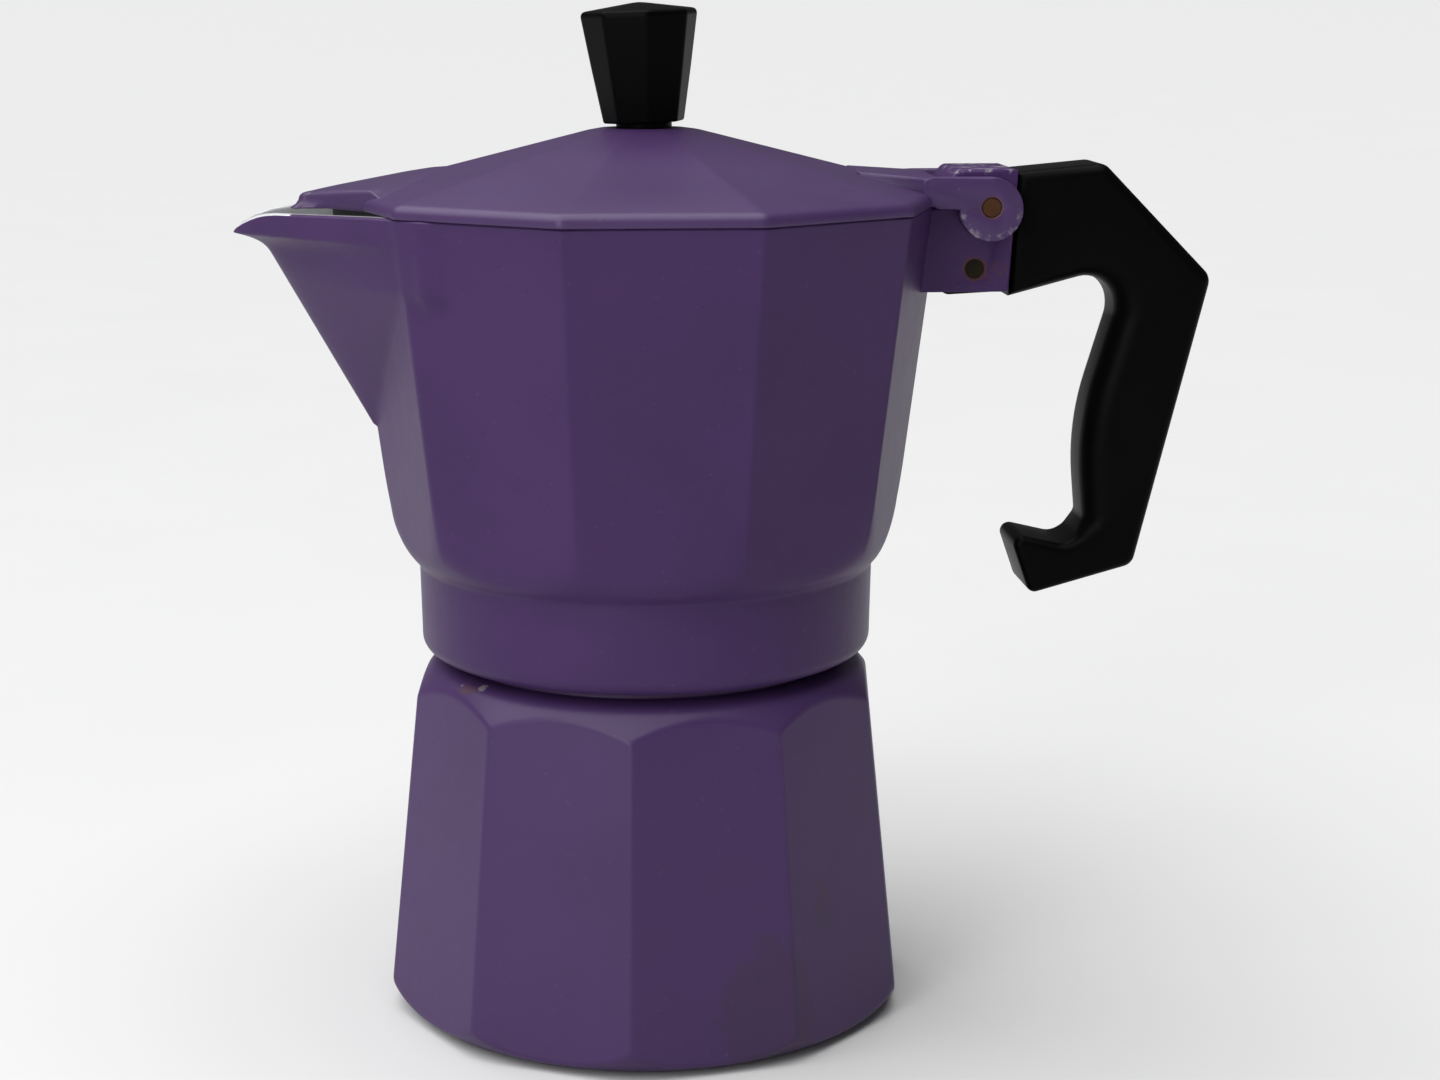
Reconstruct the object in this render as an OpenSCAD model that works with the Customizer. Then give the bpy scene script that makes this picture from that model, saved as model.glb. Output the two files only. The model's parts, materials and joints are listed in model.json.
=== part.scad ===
// Stovetop moka pot: a ten-sided screw-together coffee maker.
// Millimetres, +Z up. The origin is the centre of the base, on the pot's axis.
// +X points to the handle and -X to the pouring spout.

/* [Boiler] */
// Corner radius of the boiler wall, taken down to the table
boiler_base_r = 43.8; // [43:0.1:45]
// Corner radius of the boiler wall at the 60 mm level
boiler_high_r = 37.4; // [37:0.1:38]
// Turn of the boiler's corners against the collector's corners
boiler_turn = 11.1; // [0:0.1:36]
// Rounding of the boiler's bottom edge
base_round = 6.2; // [3:0.1:8]
// Height of the shoulder beside the neck
shoulder_z = 57.7; // [57.4:0.1:58]
// Height of the neck's rim
neck_z = 68.6; // [68.4:0.1:68.6]
// Bore radius of the neck
neck_bore_r = 28.8; // [28.5:0.1:29]

/* [Thread] */
// Root radius of the boiler's outside thread
thread_root_r = 31.3; // [31:0.1:31.5]
// Crest radius of the boiler's outside thread
thread_crest_r = 32.3; // [32:0.1:32.3]
// Rise of the thread in one turn
thread_lead = 3.2; // [3:0.1:3.4]
// Number of turns of the thread
thread_turns = 2; // [1.5:0.25:2]

/* [Collector] */
// Corner radius of the collector at its rim
collector_rim_r = 47.6; // [47.2:0.1:47.8]
// Height of the collector's rim
collector_rim_z = 130.5; // [130.2:0.1:130.5]
// Outward lean of the collector's corners
collector_lean = 7.25; // [6.5:0.05:8]
// Outer radius of the round screw ring
ring_r = 36.5; // [36:0.1:37]
// Height of the screw ring's lower edge
ring_z = 59.2; // [59:0.1:59.6]
// Bore radius of the screw ring
ring_bore_r = 32.6; // [32.6:0.1:33]
// Height of the flat seat above the filter plate
seat_z = 73; // [73:0.1:73.2]
// Thickness of the collector's cast wall
collector_wall = 2.7; // [2:0.1:3]
// Height of the top of the coffee column
column_z = 116; // [110:1:120]

/* [Lid] */
// Corner radius of the lid
lid_r = 48.1; // [48:0.1:48.5]
// Height of the lid's lower rim
lid_z = 130.7; // [130.7:0.1:130.9]
// Height of the lid's upright rim band
lid_band = 1.8; // [1.6:0.1:2.4]
// Height of the flat at the lid's top
lid_top_z = 142.6; // [142:0.1:143]
// Corner radius of the flat at the lid's top
lid_top_r = 7.8; // [7.6:0.1:9]
// Thickness of the lid's wall
lid_wall = 1.7; // [1.4:0.1:2]

/* [Hinge and handle] */
// Distance of the hinge pin from the pot's axis
hinge_x = 53.8; // [53.5:0.1:54]
// Height of the hinge pin
hinge_z = 130.6; // [130.4:0.1:130.8]
// Radius of the hinge pin and of the handle pin
pin_r = 1.45; // [1.4:0.05:1.5]
// Radius of the lid's hinge eyes
eye_r = 5; // [4.5:0.1:5.2]
// Thickness of each hinge eye
eye_t = 3.2; // [2.5:0.1:3.5]
// Width of the cast bracket that carries hinge and handle
bracket_w = 16; // [15:0.5:16]
// Width of the handle
handle_w = 14; // [12:0.5:14]

/* [Knob] */
// Corner radius of the knob at its top
knob_top_r = 9.4; // [8.5:0.1:9.6]
// Corner radius of the knob above its neck
knob_low_r = 6.5; // [6:0.1:7.5]
// Lean of the knob toward the spout
knob_lean = 2.4; // [0:0.1:2.4]
// Turn of the knob's eight corners
knob_turn = 4.8; // [0:0.1:45]

/* [Safety valve] */
// Height of the safety valve
valve_z = 38; // [32:1:40]
// Facet that carries the safety valve, counted anticlockwise
valve_facet = 2; // [0:1:9]
// Across-flats size of the valve's hexagon
valve_hex = 13; // [12:0.5:14]

/* [Funnel] */
// Outer radius of the coffee basket
basket_r = 27.7; // [27:0.1:27.8]
// Height of the perforated disc in the basket
strainer_z = 49.4; // [48:0.1:52]
// Height of the funnel tube's lower end
stem_z = 8.5; // [7:0.5:12]

/* [Hidden] */
$fn = 64;

sides = 10;
flat_ratio = cos(180 / sides);
paint = [0.30, 0.22, 0.38];
black_plastic = [0.07, 0.07, 0.08];
steel = [0.62, 0.62, 0.64];
brass = [0.66, 0.50, 0.30];

// Corner radius of the boiler's wall at a height
function boiler_r(z) = boiler_base_r + (boiler_high_r - boiler_base_r) * z / 60;
// Corner radius of the collector's wall at a height
function collector_r(z) = collector_rim_r - (collector_rim_z - z) * tan(collector_lean);

// Points of an arc, from angle a0 to angle a1
function arc(x, y, r, a0, a1, n = 8) =
    [for (i = [0:n]) let (a = a0 + (a1 - a0) * i / n) [x + r * cos(a), y + r * sin(a)]];

// Corner of an outline at q, between p and s, rounded with radius r
function corner(p, q, s, r) = let (
    u = (p - q) / norm(p - q),
    v = (s - q) / norm(s - q),
    half = acos(u * v) / 2,
    c = q + (u + v) / norm(u + v) * r / sin(half),
    t0 = q + u * r / tan(half) - c,
    t1 = q + v * r / tan(half) - c,
    a0 = atan2(t0[1], t0[0]),
    turn = atan2(t0[0] * t1[1] - t0[1] * t1[0], t0 * t1),
    n = max(2, ceil(abs(turn) / 15)))
    [for (i = [0:n]) c + r * [cos(a0 + turn * i / n), sin(a0 + turn * i / n)]];

// Closed outline whose entries are [x, y, rounding radius]
function rounded(pts) = let (n = len(pts)) [for (i = [0:n - 1]) let (
    p = pts[(i + n - 1) % n],
    q = pts[i],
    s = pts[(i + 1) % n])
    each (q[2] == 0 ? [[q[0], q[1]]] :
        corner([p[0], p[1]], [q[0], q[1]], [s[0], s[1]], q[2]))];

// Outline in X and Z, extruded along Y to a width
module plate(outline, width) {
    rotate([90, 0, 0])
        linear_extrude(width, center = true)
            polygon(outline);
}

// Ten flat sides, each bounded by an outline of [distance, height]
module ten_sided(outline, turn = 0) {
    intersection_for (i = [0:sides - 1])
        rotate([0, 0, turn + 360 / sides * (i + 0.5)])
            plate(outline, 140);
}

// Round bar along Y
module bar_y(r, length) {
    rotate([90, 0, 0])
        cylinder(h = length, r = r, center = true);
}

// Puts a part on the valve's axis, pointing out of the boiler
module on_valve_axis() {
    rotate([0, 0, boiler_turn + 360 / sides * (valve_facet + 0.5)])
        translate([boss_x, 0, valve_z])
            rotate([0, 90, 0])
                children();
}

// Puts a part on the knob's leaning axis
module on_knob_axis() {
    translate([0, 0, lid_top_z])
        rotate([0, -knob_lean, 0])
            children();
}

// ---- boiler ----
boss_x = boiler_r(valve_z) * flat_ratio + 0.9;
crease_r = boiler_r(52.7);
dome_foot_r = crease_r + 6;
dome_angle = 50;

boiler_outline = [
    [0, 0],
    each arc(boiler_base_r - base_round - 0.4, base_round, base_round, -90, -6),
    [46, 9],
    [46, 40],
    [dome_foot_r, 52.7 - 6 * tan(dome_angle)],
    [34.9, 52.7 + (crease_r - 34.9) * tan(dome_angle)],
    [33.6, shoulder_z - 0.4],
    [32.4, shoulder_z],
    [thread_root_r, shoulder_z],
    [thread_root_r, neck_z - 0.5],
    [thread_root_r - 0.5, neck_z],
    [0, neck_z]];

boiler_cavity = [
    [0, 4],
    each arc(34, 7.5, 3.5, -90, 0, 6),
    [33.8, 46],
    [33, 50],
    [30.4, 54.4],
    [neck_bore_r, 57],
    [neck_bore_r, neck_z + 1],
    [0, neck_z + 1]];

// Helical ridge of the outside thread, triangular with a flat crest
thread_steps = 24;
thread_base = 1.1;
thread_crest = 0.3;
thread_low = 60.3;
thread_count = thread_steps * thread_turns;
thread_points = [for (i = [0:thread_count]) let (
    a = 360 * i / thread_steps,
    z = thread_low + thread_lead * i / thread_steps,
    fade = min(1, i / 4, (thread_count - i) / 4),
    top = thread_root_r + 0.1 + (thread_crest_r - thread_root_r - 0.1) * fade)
    each [for (p = [[thread_root_r - 0.4, -thread_base], [top, -thread_crest],
        [top, thread_crest], [thread_root_r - 0.4, thread_base]])
        [p[0] * cos(a), p[0] * sin(a), z + p[1]]]];
thread_faces = concat(
    [[0, 1, 2, 3]],
    [for (i = [0:thread_count - 1], k = [0:3]) let (n = (k + 1) % 4)
        [4 * i + k, 4 * i + 4 + k, 4 * i + 4 + n, 4 * i + n]],
    [[for (k = [3:-1:0]) 4 * thread_count + k]]);

module boiler() {
    color(paint) {
        difference() {
            union() {
                intersection() {
                    ten_sided([[-60, 0], [boiler_r(0) * flat_ratio, 0],
                        [boiler_r(70) * flat_ratio, 70], [-60, 70]], boiler_turn);
                    rotate_extrude() polygon(boiler_outline);
                }
                on_valve_axis() translate([0, 0, -3]) cylinder(h = 3, r = 8.6);
            }
            rotate_extrude() polygon(boiler_cavity);
            on_valve_axis() translate([0, 0, -8]) cylinder(h = 9, r = valve_thread_r);
        }
        polyhedron(thread_points, thread_faces, convexity = 4);
    }
}

// ---- safety valve, drawn on its own axis with the boss face at 0 ----
valve_thread_r = 5;
valve_inner = -5.5;
valve_washer_t = 1;
valve_outer = 6.2;
valve_chamber_r = 3.1;
valve_floor = -4;
valve_stem_r = 1.25;

module valve_body() {
    color(brass) on_valve_axis() difference() {
        union() {
            translate([0, 0, valve_inner])
                cylinder(h = valve_outer - valve_inner, r = valve_thread_r);
            intersection() {
                translate([0, 0, valve_washer_t])
                    cylinder(h = valve_outer - valve_washer_t, r = valve_hex / sqrt(3), $fn = 6);
                rotate_extrude() polygon([[0, 0], [8, 0], [8, valve_outer - 1],
                    [6.2, valve_outer], [0, valve_outer]]);
            }
        }
        translate([0, 0, valve_inner - 1]) cylinder(h = 20, r = 1.9);
        translate([0, 0, valve_floor]) cylinder(h = 20, r = valve_chamber_r);
    }
}

module valve_washer() {
    color("saddlebrown") on_valve_axis() difference() {
        cylinder(h = valve_washer_t, r = 7.6);
        translate([0, 0, -1]) cylinder(h = 3, r = valve_thread_r);
    }
}

module valve_seal() {
    color("tomato") on_valve_axis() translate([0, 0, valve_floor])
        cylinder(h = 0.8, r = 2.7);
}

module valve_plunger() {
    color(steel) on_valve_axis() {
        translate([0, 0, valve_floor + 0.8]) cylinder(h = 1, r = 2.7);
        translate([0, 0, valve_floor + 1.8]) cylinder(h = 9.4, r = valve_stem_r);
        translate([0, 0, valve_floor + 11.2]) sphere(r = valve_stem_r);
    }
}

module valve_cap() {
    color(steel) on_valve_axis() translate([0, 0, valve_outer - 1.1]) difference() {
        cylinder(h = 0.9, r = valve_chamber_r);
        translate([0, 0, -1]) cylinder(h = 3, r = valve_stem_r + 0.08);
    }
}

// Helical compression spring between the plunger's head and the cap
coil_r = 2.05;
wire_r = 0.3;
coil_turns = 5;
coil_low = valve_floor + 2.15;
coil_high = valve_outer - 1.45;
coil_steps = 12;
coil_rings = coil_turns * coil_steps;
coil_points = [for (i = [0:coil_rings]) let (
    a = 360 * i / coil_steps,
    z = coil_low + (coil_high - coil_low) * i / coil_rings)
    each [for (k = [0:5]) let (r = coil_r + wire_r * cos(60 * k))
        [r * cos(a), r * sin(a), z + wire_r * sin(60 * k)]]];
coil_faces = concat(
    [[for (k = [0:5]) k]],
    [for (i = [0:coil_rings - 1], k = [0:5]) let (n = (k + 1) % 6)
        [6 * i + k, 6 * i + 6 + k, 6 * i + 6 + n, 6 * i + n]],
    [[for (k = [5:-1:0]) 6 * coil_rings + k]]);

module valve_spring() {
    color(steel) on_valve_axis() polyhedron(coil_points, coil_faces, convexity = 6);
}

// ---- funnel, its strainer, the gasket and the filter plate ----
flange_z = neck_z + 0.05;
flange_t = 0.7;
sheet = 0.9;
stem_r = 5.4;
cone_z = 40;

module funnel() {
    color(steel) rotate_extrude() polygon([
        [30.6, flange_z], [30.6, flange_z + flange_t],
        [basket_r - sheet, flange_z + flange_t], [basket_r - sheet, strainer_z],
        [basket_r - 2, strainer_z], [basket_r - 2, strainer_z - 0.8],
        [stem_r - 0.8, cone_z], [stem_r - 0.8, stem_z],
        [stem_r, stem_z], [stem_r, cone_z - 0.6],
        [basket_r - 0.8, strainer_z - 1.4], [basket_r, strainer_z - 0.6],
        [basket_r, flange_z]]);
}

// Holes on a triangular grid that fit inside a circle
module hole_grid(pitch, rings, hole_r, height) {
    for (i = [-rings:rings], j = [-rings:rings])
        if (abs(i + j) <= rings)
            translate([pitch * (i + j / 2), pitch * j * sin(60), 0])
                cylinder(h = height, r = hole_r, center = true);
}

module funnel_strainer() {
    color(steel) translate([0, 0, strainer_z]) difference() {
        cylinder(h = 0.8, r = basket_r - sheet);
        hole_grid(7.2, 3, 1, 4);
    }
}

gasket_z = flange_z + flange_t + 0.05;
gasket_t = 2.8;
gasket_r = 32.1;
gasket_hole_r = 26.2;

module gasket() {
    color("gainsboro") translate([0, 0, gasket_z]) difference() {
        cylinder(h = gasket_t, r = gasket_r);
        translate([0, 0, -1]) cylinder(h = gasket_t + 2, r = gasket_hole_r);
    }
}

plate_z = gasket_z + gasket_t + 0.05;
plate_t = 0.7;
dish = 1.6;

module filter_plate() {
    color(steel) difference() {
        rotate_extrude() polygon([
            [29.5, plate_z], [29.5, plate_z + plate_t], [26.4, plate_z + plate_t],
            [25, plate_z + plate_t + dish], [0, plate_z + plate_t + dish],
            [0, plate_z + dish], [24.6, plate_z + dish], [26, plate_z]]);
        translate([0, 0, plate_z + dish]) hole_grid(6.8, 3, 0.9, 6);
    }
}

// ---- collector ----
recess_r = 27.3;
recess_z = seat_z + 2.4;
floor_z = recess_z + 2.8;
foot_z = 82.5;
foot_r = collector_r(foot_z);
foot_round = 14;

// Round undercut below the ten flats: an arc, then a straight cone to the ring
foot_arc = arc(foot_r - foot_round * cos(collector_lean),
    foot_z + foot_round * sin(collector_lean), foot_round, -collector_lean, -43, 6);
foot_end = foot_arc[6];

collector_outline = [
    [0, ring_z],
    each arc(ring_r - 2.65, ring_z + 2.5, 2.5, -90, -3, 5),
    [ring_r, foot_end[1] - (foot_end[0] - ring_r) * tan(47)],
    each [for (i = [6:-1:0]) foot_arc[i]],
    [collector_r(90) + 1, 90],
    [60, 131],
    [0, 131]];

chamber_outline = [
    [0, floor_z],
    each arc(33, floor_z + 5, 5, -90, -20, 5),
    [60, 131],
    [0, 131]];

column_outline = [
    [0, floor_z - 1], [13, floor_z - 1], [12, floor_z + 0.4], [9.6, floor_z + 1.6],
    [8.4, floor_z + 5], [6.1, column_z - 4],
    each arc(2.6, column_z - 3.5, 3.5, 0, 90, 5),
    [0, column_z]];

column_bore = [
    [0, recess_z - 1], [8.4, recess_z - 1], [8.4, recess_z], [6.2, floor_z + 3],
    [3.8, column_z - 8], [3.2, column_z - 4], [0, column_z - 2.5]];

// Spout: corner points shared by its outside and, moved inward, its channel
module beads(points, r) {
    hull() for (p = points) translate(p) sphere(r = r, $fn = 16);
}

spout_root_y = 26.4;
spout_fall = 0.5;
module spout_outside() {
    intersection() {
        union() {
            beads([[-57.2, 0, 125.2], [-57.2, 0, 131], [-40.8, 0, 95.6],
                [-37.4, spout_root_y, 131], [-37.4, -spout_root_y, 131],
                [-36.6, spout_root_y - 0.6, 119], [-36.6, 0.6 - spout_root_y, 119]], 2);
            beads([[-63.9, 0, 127.3], [-60.5, 1.6, 129.6], [-60.5, -1.6, 129.6],
                [-57.6, 3.2, 131], [-57.6, -3.2, 131], [-57.5, 0, 125.4]], 0.9);
        }
        plate([[-30, 90], [-30, collector_rim_z], [-42, collector_rim_z],
            [-57.5, collector_rim_z - spout_fall], [-61, 129.2], [-63.2, 128.2],
            [-65.5, 126.4], [-65.5, 90]], 80);
    }
}

module spout_channel() {
    beads([[-56.6, 0, 127.5], [-56.6, 0, 132], [-40, 0, 99],
        [-36.2, spout_root_y - 2.8, 132], [-36.2, 2.8 - spout_root_y, 132],
        [-35.4, spout_root_y - 4, 119], [-35.4, 4 - spout_root_y, 119]], 1.2);
    beads([[-62.8, 0, 128.6], [-57, 1.8, 131], [-57, -1.8, 131], [-57, 0, 127.4]], 0.7);
}

// Cast bracket behind the collector: carries the handle and the hinge pin
bracket_top_z = 136.3;
bracket_low_z = 117;
bracket_back_x = 58.6;
bracket_foot_x = 57.4;
cheek = 2.4;
sweep_r = 7.4;

module bracket_outside() {
    intersection() {
        union() {
            translate([0, 0, bracket_low_z])
                linear_extrude(collector_rim_z - bracket_low_z)
                    polygon([[36, -15], [39.6, -13], [44.8, -bracket_w / 2],
                        [60, -bracket_w / 2], [60, bracket_w / 2],
                        [44.8, bracket_w / 2], [39.6, 13], [36, 15]]);
            intersection() {
                translate([44, -bracket_w / 2, 128])
                    cube([16, bracket_w, bracket_top_z - 128]);
                union() {
                    translate([hinge_x, 0, hinge_z]) bar_y(sweep_r, 20);
                    translate([hinge_x - 1, -10, 120]) cube([10, 20, 20]);
                }
            }
        }
        plate([[30, 110], [bracket_foot_x - 0.4, 110], [bracket_back_x, bracket_top_z],
            [bracket_back_x, 140], [30, 140]], 40);
    }
}

module bracket_pocket() {
    plate([[46.6, 110], [46.6, 126], [49.2, 129], [49.2, 133.3], [70, 133.3], [70, 110]],
        bracket_w - 2 * cheek);
}

handle_pin_x = 51.9;
handle_pin_z = 120.7;

module collector() {
    color(paint) difference() {
        union() {
            intersection() {
                ten_sided([[-60, ring_z], [collector_r(ring_z) * flat_ratio, ring_z],
                    [collector_rim_r * flat_ratio, collector_rim_z], [-60, collector_rim_z]]);
                rotate_extrude() polygon(collector_outline);
            }
            spout_outside();
            bracket_outside();
        }
        difference() {
            union() {
                intersection() {
                    ten_sided([[-60, 70],
                        [(collector_r(70) - collector_wall) * flat_ratio, 70],
                        [(collector_r(131) - collector_wall) * flat_ratio, 131], [-60, 131]]);
                    rotate_extrude() polygon(chamber_outline);
                }
                spout_channel();
            }
            rotate_extrude() polygon(column_outline);
        }
        rotate_extrude() polygon(column_bore);
        translate([0, 0, column_z - 7.5]) bar_y(1.9, 16);
        translate([0, 0, ring_z - 1]) cylinder(h = seat_z - ring_z + 1, r = ring_bore_r);
        translate([0, 0, seat_z - 1]) cylinder(h = recess_z - seat_z + 1, r = recess_r);
        bracket_pocket();
        translate([hinge_x, 0, hinge_z]) bar_y(pin_r, 40);
        translate([handle_pin_x, 0, handle_pin_z]) bar_y(pin_r, 40);
    }
}

// ---- handle ----
// Outline in X and Z of the grip: [x, z, rounding radius]
handle_outline = rounded([
    [bracket_back_x + 0.1, 135.9, 0.6],
    [72.9, 137.2, 1.6],
    [91, 118.9, 2.2],
    [79.6, 71.8, 1.8],
    [62.4, 67.2, 0.8],
    [58.7, 77.6, 1.2],
    [69.2, 75, 3.2],
    [71.4, 79.4, 2],
    [70, 94, 45],
    [75.6, 113, 6],
    [75.5, 120.2, 4.8],
    [bracket_foot_x + 0.3, 116, 0.6]]);

module handle() {
    color(black_plastic) difference() {
        union() {
            plate(handle_outline, handle_w);
            plate([[46.9, 116.9], [47.9, 116.3], [60, 116.9], [62, 128], [62, 133],
                [49.5, 133], [49.5, 128.9], [46.9, 125.9]], bracket_w - 2 * cheek - 0.2);
        }
        translate([hinge_x, 0, hinge_z]) bar_y(pin_r, 40);
        translate([handle_pin_x, 0, handle_pin_z]) bar_y(pin_r, 40);
    }
}

eye_gap = 0.35;
eye_out = bracket_w / 2 + eye_gap + eye_t;

module hinge_pin() {
    color(brass) translate([hinge_x, 0, hinge_z]) bar_y(pin_r, 2 * eye_out - 0.6);
}

module handle_pin() {
    color("sienna") translate([handle_pin_x, 0, handle_pin_z]) bar_y(pin_r, bracket_w - 0.4);
}

// ---- lid ----
tongue_z = 135.3;
arm_x = 42.8;
slot_x = hinge_x - sweep_r - 0.4;

module lid_body() {
    ten_sided([[-60, lid_z], [lid_r * flat_ratio, lid_z],
        [lid_r * flat_ratio, lid_z + lid_band], [lid_top_r * flat_ratio, lid_top_z],
        [-60, lid_top_z]]);
}

module lid_inside() {
    ten_sided([[-60, lid_z - 1], [(lid_r - 2.3) * flat_ratio, lid_z - 1],
        [(lid_r - 2.3) * flat_ratio, lid_z + lid_band - lid_wall + 0.4],
        [lid_top_r * flat_ratio, lid_top_z - lid_wall - 0.3],
        [-60, lid_top_z - lid_wall - 0.3]]);
}

// Locating lip that drops into the collector's rim
lip_r = 44.1;
module lid_lip() {
    difference() {
        ten_sided([[-60, lid_z - 1.6], [lip_r * flat_ratio, lid_z - 1.6],
            [lip_r * flat_ratio, lid_z + 1.2], [-60, lid_z + 1.2]]);
        ten_sided([[-60, 120], [(lip_r - 1.2) * flat_ratio, 120],
            [(lip_r - 1.2) * flat_ratio, 140], [-60, 140]]);
        translate([-60, -15, 120]) cube([30, 30, 20]);
    }
}

cover_side = [-42.4, 13.8];
module spout_cover(grow, low, drop) {
    beads([[-54.5 - grow, 0.8, low - 0.4], [-54.5 - grow, -0.8, low - 0.4],
        [-53 - grow, 0.8, 132 - drop], [-53 - grow, -0.8, 132 - drop],
        [cover_side[0], cover_side[1] + grow, low], [cover_side[0], -cover_side[1] - grow, low],
        [cover_side[0] + 0.8, cover_side[1] + grow, 133.5 - drop],
        [cover_side[0] + 0.8, -cover_side[1] - grow, 133.5 - drop],
        [-33, 0, 135.8 - drop], [-34, 8, low], [-34, -8, low]], 0.6);
}

// Wedge behind the lid that widens toward the two hinge eyes
module tongue() {
    intersection() {
        translate([0, 0, 132]) linear_extrude(6)
            polygon([[34, -8], [arm_x, -eye_out], [47, -eye_out],
                [47, eye_out], [arm_x, eye_out], [34, 8]]);
        plate([[34, 132], [47, 132], [47, tongue_z], [44, tongue_z], [34, 136.1]], 30);
    }
}

module hinge_arm(side) {
    translate([0, side * (bracket_w / 2 + eye_gap + eye_t / 2), 0]) {
        translate([hinge_x, 0, hinge_z - 0.3]) bar_y(eye_r, eye_t);
        plate([[arm_x, lid_z], [44.8, lid_z], [45.6, lid_z - 0.3], [hinge_x, lid_z - 0.3],
            [hinge_x, tongue_z], [arm_x + 1.3, tongue_z], [arm_x, tongue_z - 1.5]], eye_t);
    }
}

module lid() {
    color(paint) difference() {
        union() {
            difference() {
                union() {
                    lid_body();
                    spout_cover(0, lid_z + 0.6, 0);
                    tongue();
                }
                lid_inside();
                spout_cover(-1.6, lid_z - 2, 1.5);
            }
            lid_lip();
            hinge_arm(1);
            hinge_arm(-1);
        }
        translate([slot_x, -bracket_w / 2 - eye_gap, 120]) cube([40, bracket_w + 2 * eye_gap, 30]);
        translate([hinge_x, 0, hinge_z]) bar_y(pin_r + 0.05, 40);
        translate([0, 0, lid_top_z - 6]) cylinder(h = 8, r = screw_hole_r);
    }
}

// ---- knob and its screw ----
screw_r = 1.9;
screw_hole_r = 2.3;
knob_neck_h = 0.9;
knob_neck_r = 4.4;
knob_h = 18.2;
knob_cap_h = 1.3;
insert_r = 3.1;
insert_low = 0.2;
insert_h = 9;

module knob() {
    color(black_plastic) on_knob_axis() difference() {
        union() {
            cylinder(h = knob_neck_h, r = knob_neck_r);
            rotate([0, 0, knob_turn]) translate([0, 0, knob_neck_h]) {
                cylinder(h = knob_h - knob_neck_h, r1 = knob_low_r, r2 = knob_top_r, $fn = 8);
                translate([0, 0, knob_h - knob_neck_h])
                    cylinder(h = knob_cap_h, r1 = knob_top_r, r2 = 0.6, $fn = 8);
            }
        }
        translate([0, 0, -1]) cylinder(h = insert_h + 1, r = insert_r);
    }
}

module knob_insert() {
    color(brass) on_knob_axis() difference() {
        translate([0, 0, insert_low]) cylinder(h = insert_h - insert_low, r = insert_r);
        translate([0, 0, -1]) cylinder(h = insert_h + 2, r = screw_r);
    }
}

washer_low = -lid_wall - 1.4;
module knob_washer() {
    color(steel) on_knob_axis() translate([0, 0, washer_low]) difference() {
        cylinder(h = 0.8, r = 4.6);
        translate([0, 0, -1]) cylinder(h = 3, r = screw_r);
    }
}

module knob_screw() {
    color(steel) on_knob_axis() {
        translate([0, 0, washer_low]) cylinder(h = 7.5 - washer_low, r = screw_r);
        difference() {
            translate([0, 0, washer_low - 2.2]) rotate_extrude()
                polygon([[0, 0], [2.4, 0], [3.5, 0.9], [3.7, 2.2], [0, 2.2]]);
            translate([-5, -0.5, washer_low - 3.2]) cube([10, 1, 2]);
        }
    }
}

boiler();
valve_body();
valve_washer();
valve_plunger();
valve_seal();
valve_spring();
valve_cap();
funnel();
funnel_strainer();
gasket();
filter_plate();
collector();
handle();
hinge_pin();
handle_pin();
lid();
knob();
knob_insert();
knob_screw();
knob_washer();
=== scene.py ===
import json
import math

import bmesh
import bpy
import numpy as np
from mathutils import Matrix, Vector

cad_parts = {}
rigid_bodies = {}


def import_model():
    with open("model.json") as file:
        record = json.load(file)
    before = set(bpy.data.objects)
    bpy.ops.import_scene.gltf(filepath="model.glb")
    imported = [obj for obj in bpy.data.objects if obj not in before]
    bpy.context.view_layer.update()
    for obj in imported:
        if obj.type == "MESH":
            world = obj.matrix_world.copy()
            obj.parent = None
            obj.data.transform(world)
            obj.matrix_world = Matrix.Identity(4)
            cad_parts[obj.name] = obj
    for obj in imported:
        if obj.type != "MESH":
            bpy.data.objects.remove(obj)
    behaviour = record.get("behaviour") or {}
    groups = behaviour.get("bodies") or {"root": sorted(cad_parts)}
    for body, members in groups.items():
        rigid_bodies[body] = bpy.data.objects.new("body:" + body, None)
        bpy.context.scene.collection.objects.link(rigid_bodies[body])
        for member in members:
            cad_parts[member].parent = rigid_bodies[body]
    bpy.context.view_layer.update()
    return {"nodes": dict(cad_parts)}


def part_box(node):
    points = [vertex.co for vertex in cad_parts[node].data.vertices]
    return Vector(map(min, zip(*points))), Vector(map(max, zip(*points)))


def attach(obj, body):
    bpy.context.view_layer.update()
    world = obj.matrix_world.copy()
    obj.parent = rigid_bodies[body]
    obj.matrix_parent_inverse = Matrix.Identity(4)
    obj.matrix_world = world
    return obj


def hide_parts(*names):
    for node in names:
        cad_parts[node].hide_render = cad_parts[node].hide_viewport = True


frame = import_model()

MM = 0.001
SCENE = bpy.context.scene

# Sizes in millimetres, as in the CAD model
BOILER_BASE_R, BOILER_HIGH_R, BOILER_TURN = 43.8, 37.4, 11.1
BASE_ROUND = 6.2
DOME_Z, DOME_ANGLE = 52.7, 50
SHOULDER_Z, NECK_Z, NECK_BORE_R = 57.7, 68.6, 28.8
THREAD_ROOT_R, THREAD_CREST_R, THREAD_LEAD, THREAD_LOW = 31.3, 32.3, 3.2, 60.3
RIM_R, RIM_Z, LEAN = 47.6, 130.66, math.radians(7.25)
RING_R, RING_Z, RING_BORE_R = 36.5, 59.2, 32.6
SEAT_Z, RECESS_R, RECESS_Z, FLOOR_Z = 73.0, 27.3, 75.4, 78.2
FOOT_Z, FOOT_ROUND = 82.5, 14.0
WALL = 2.7
COLUMN_Z = 116.0
LID_R, LID_Z, LID_BAND, LID_TOP_Z, LID_TOP_R = 48.1, 130.7, 1.8, 142.6, 7.8
SLOT_X, ARM_X, TONGUE_Z = 46.0, 42.8, 135.3
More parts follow.
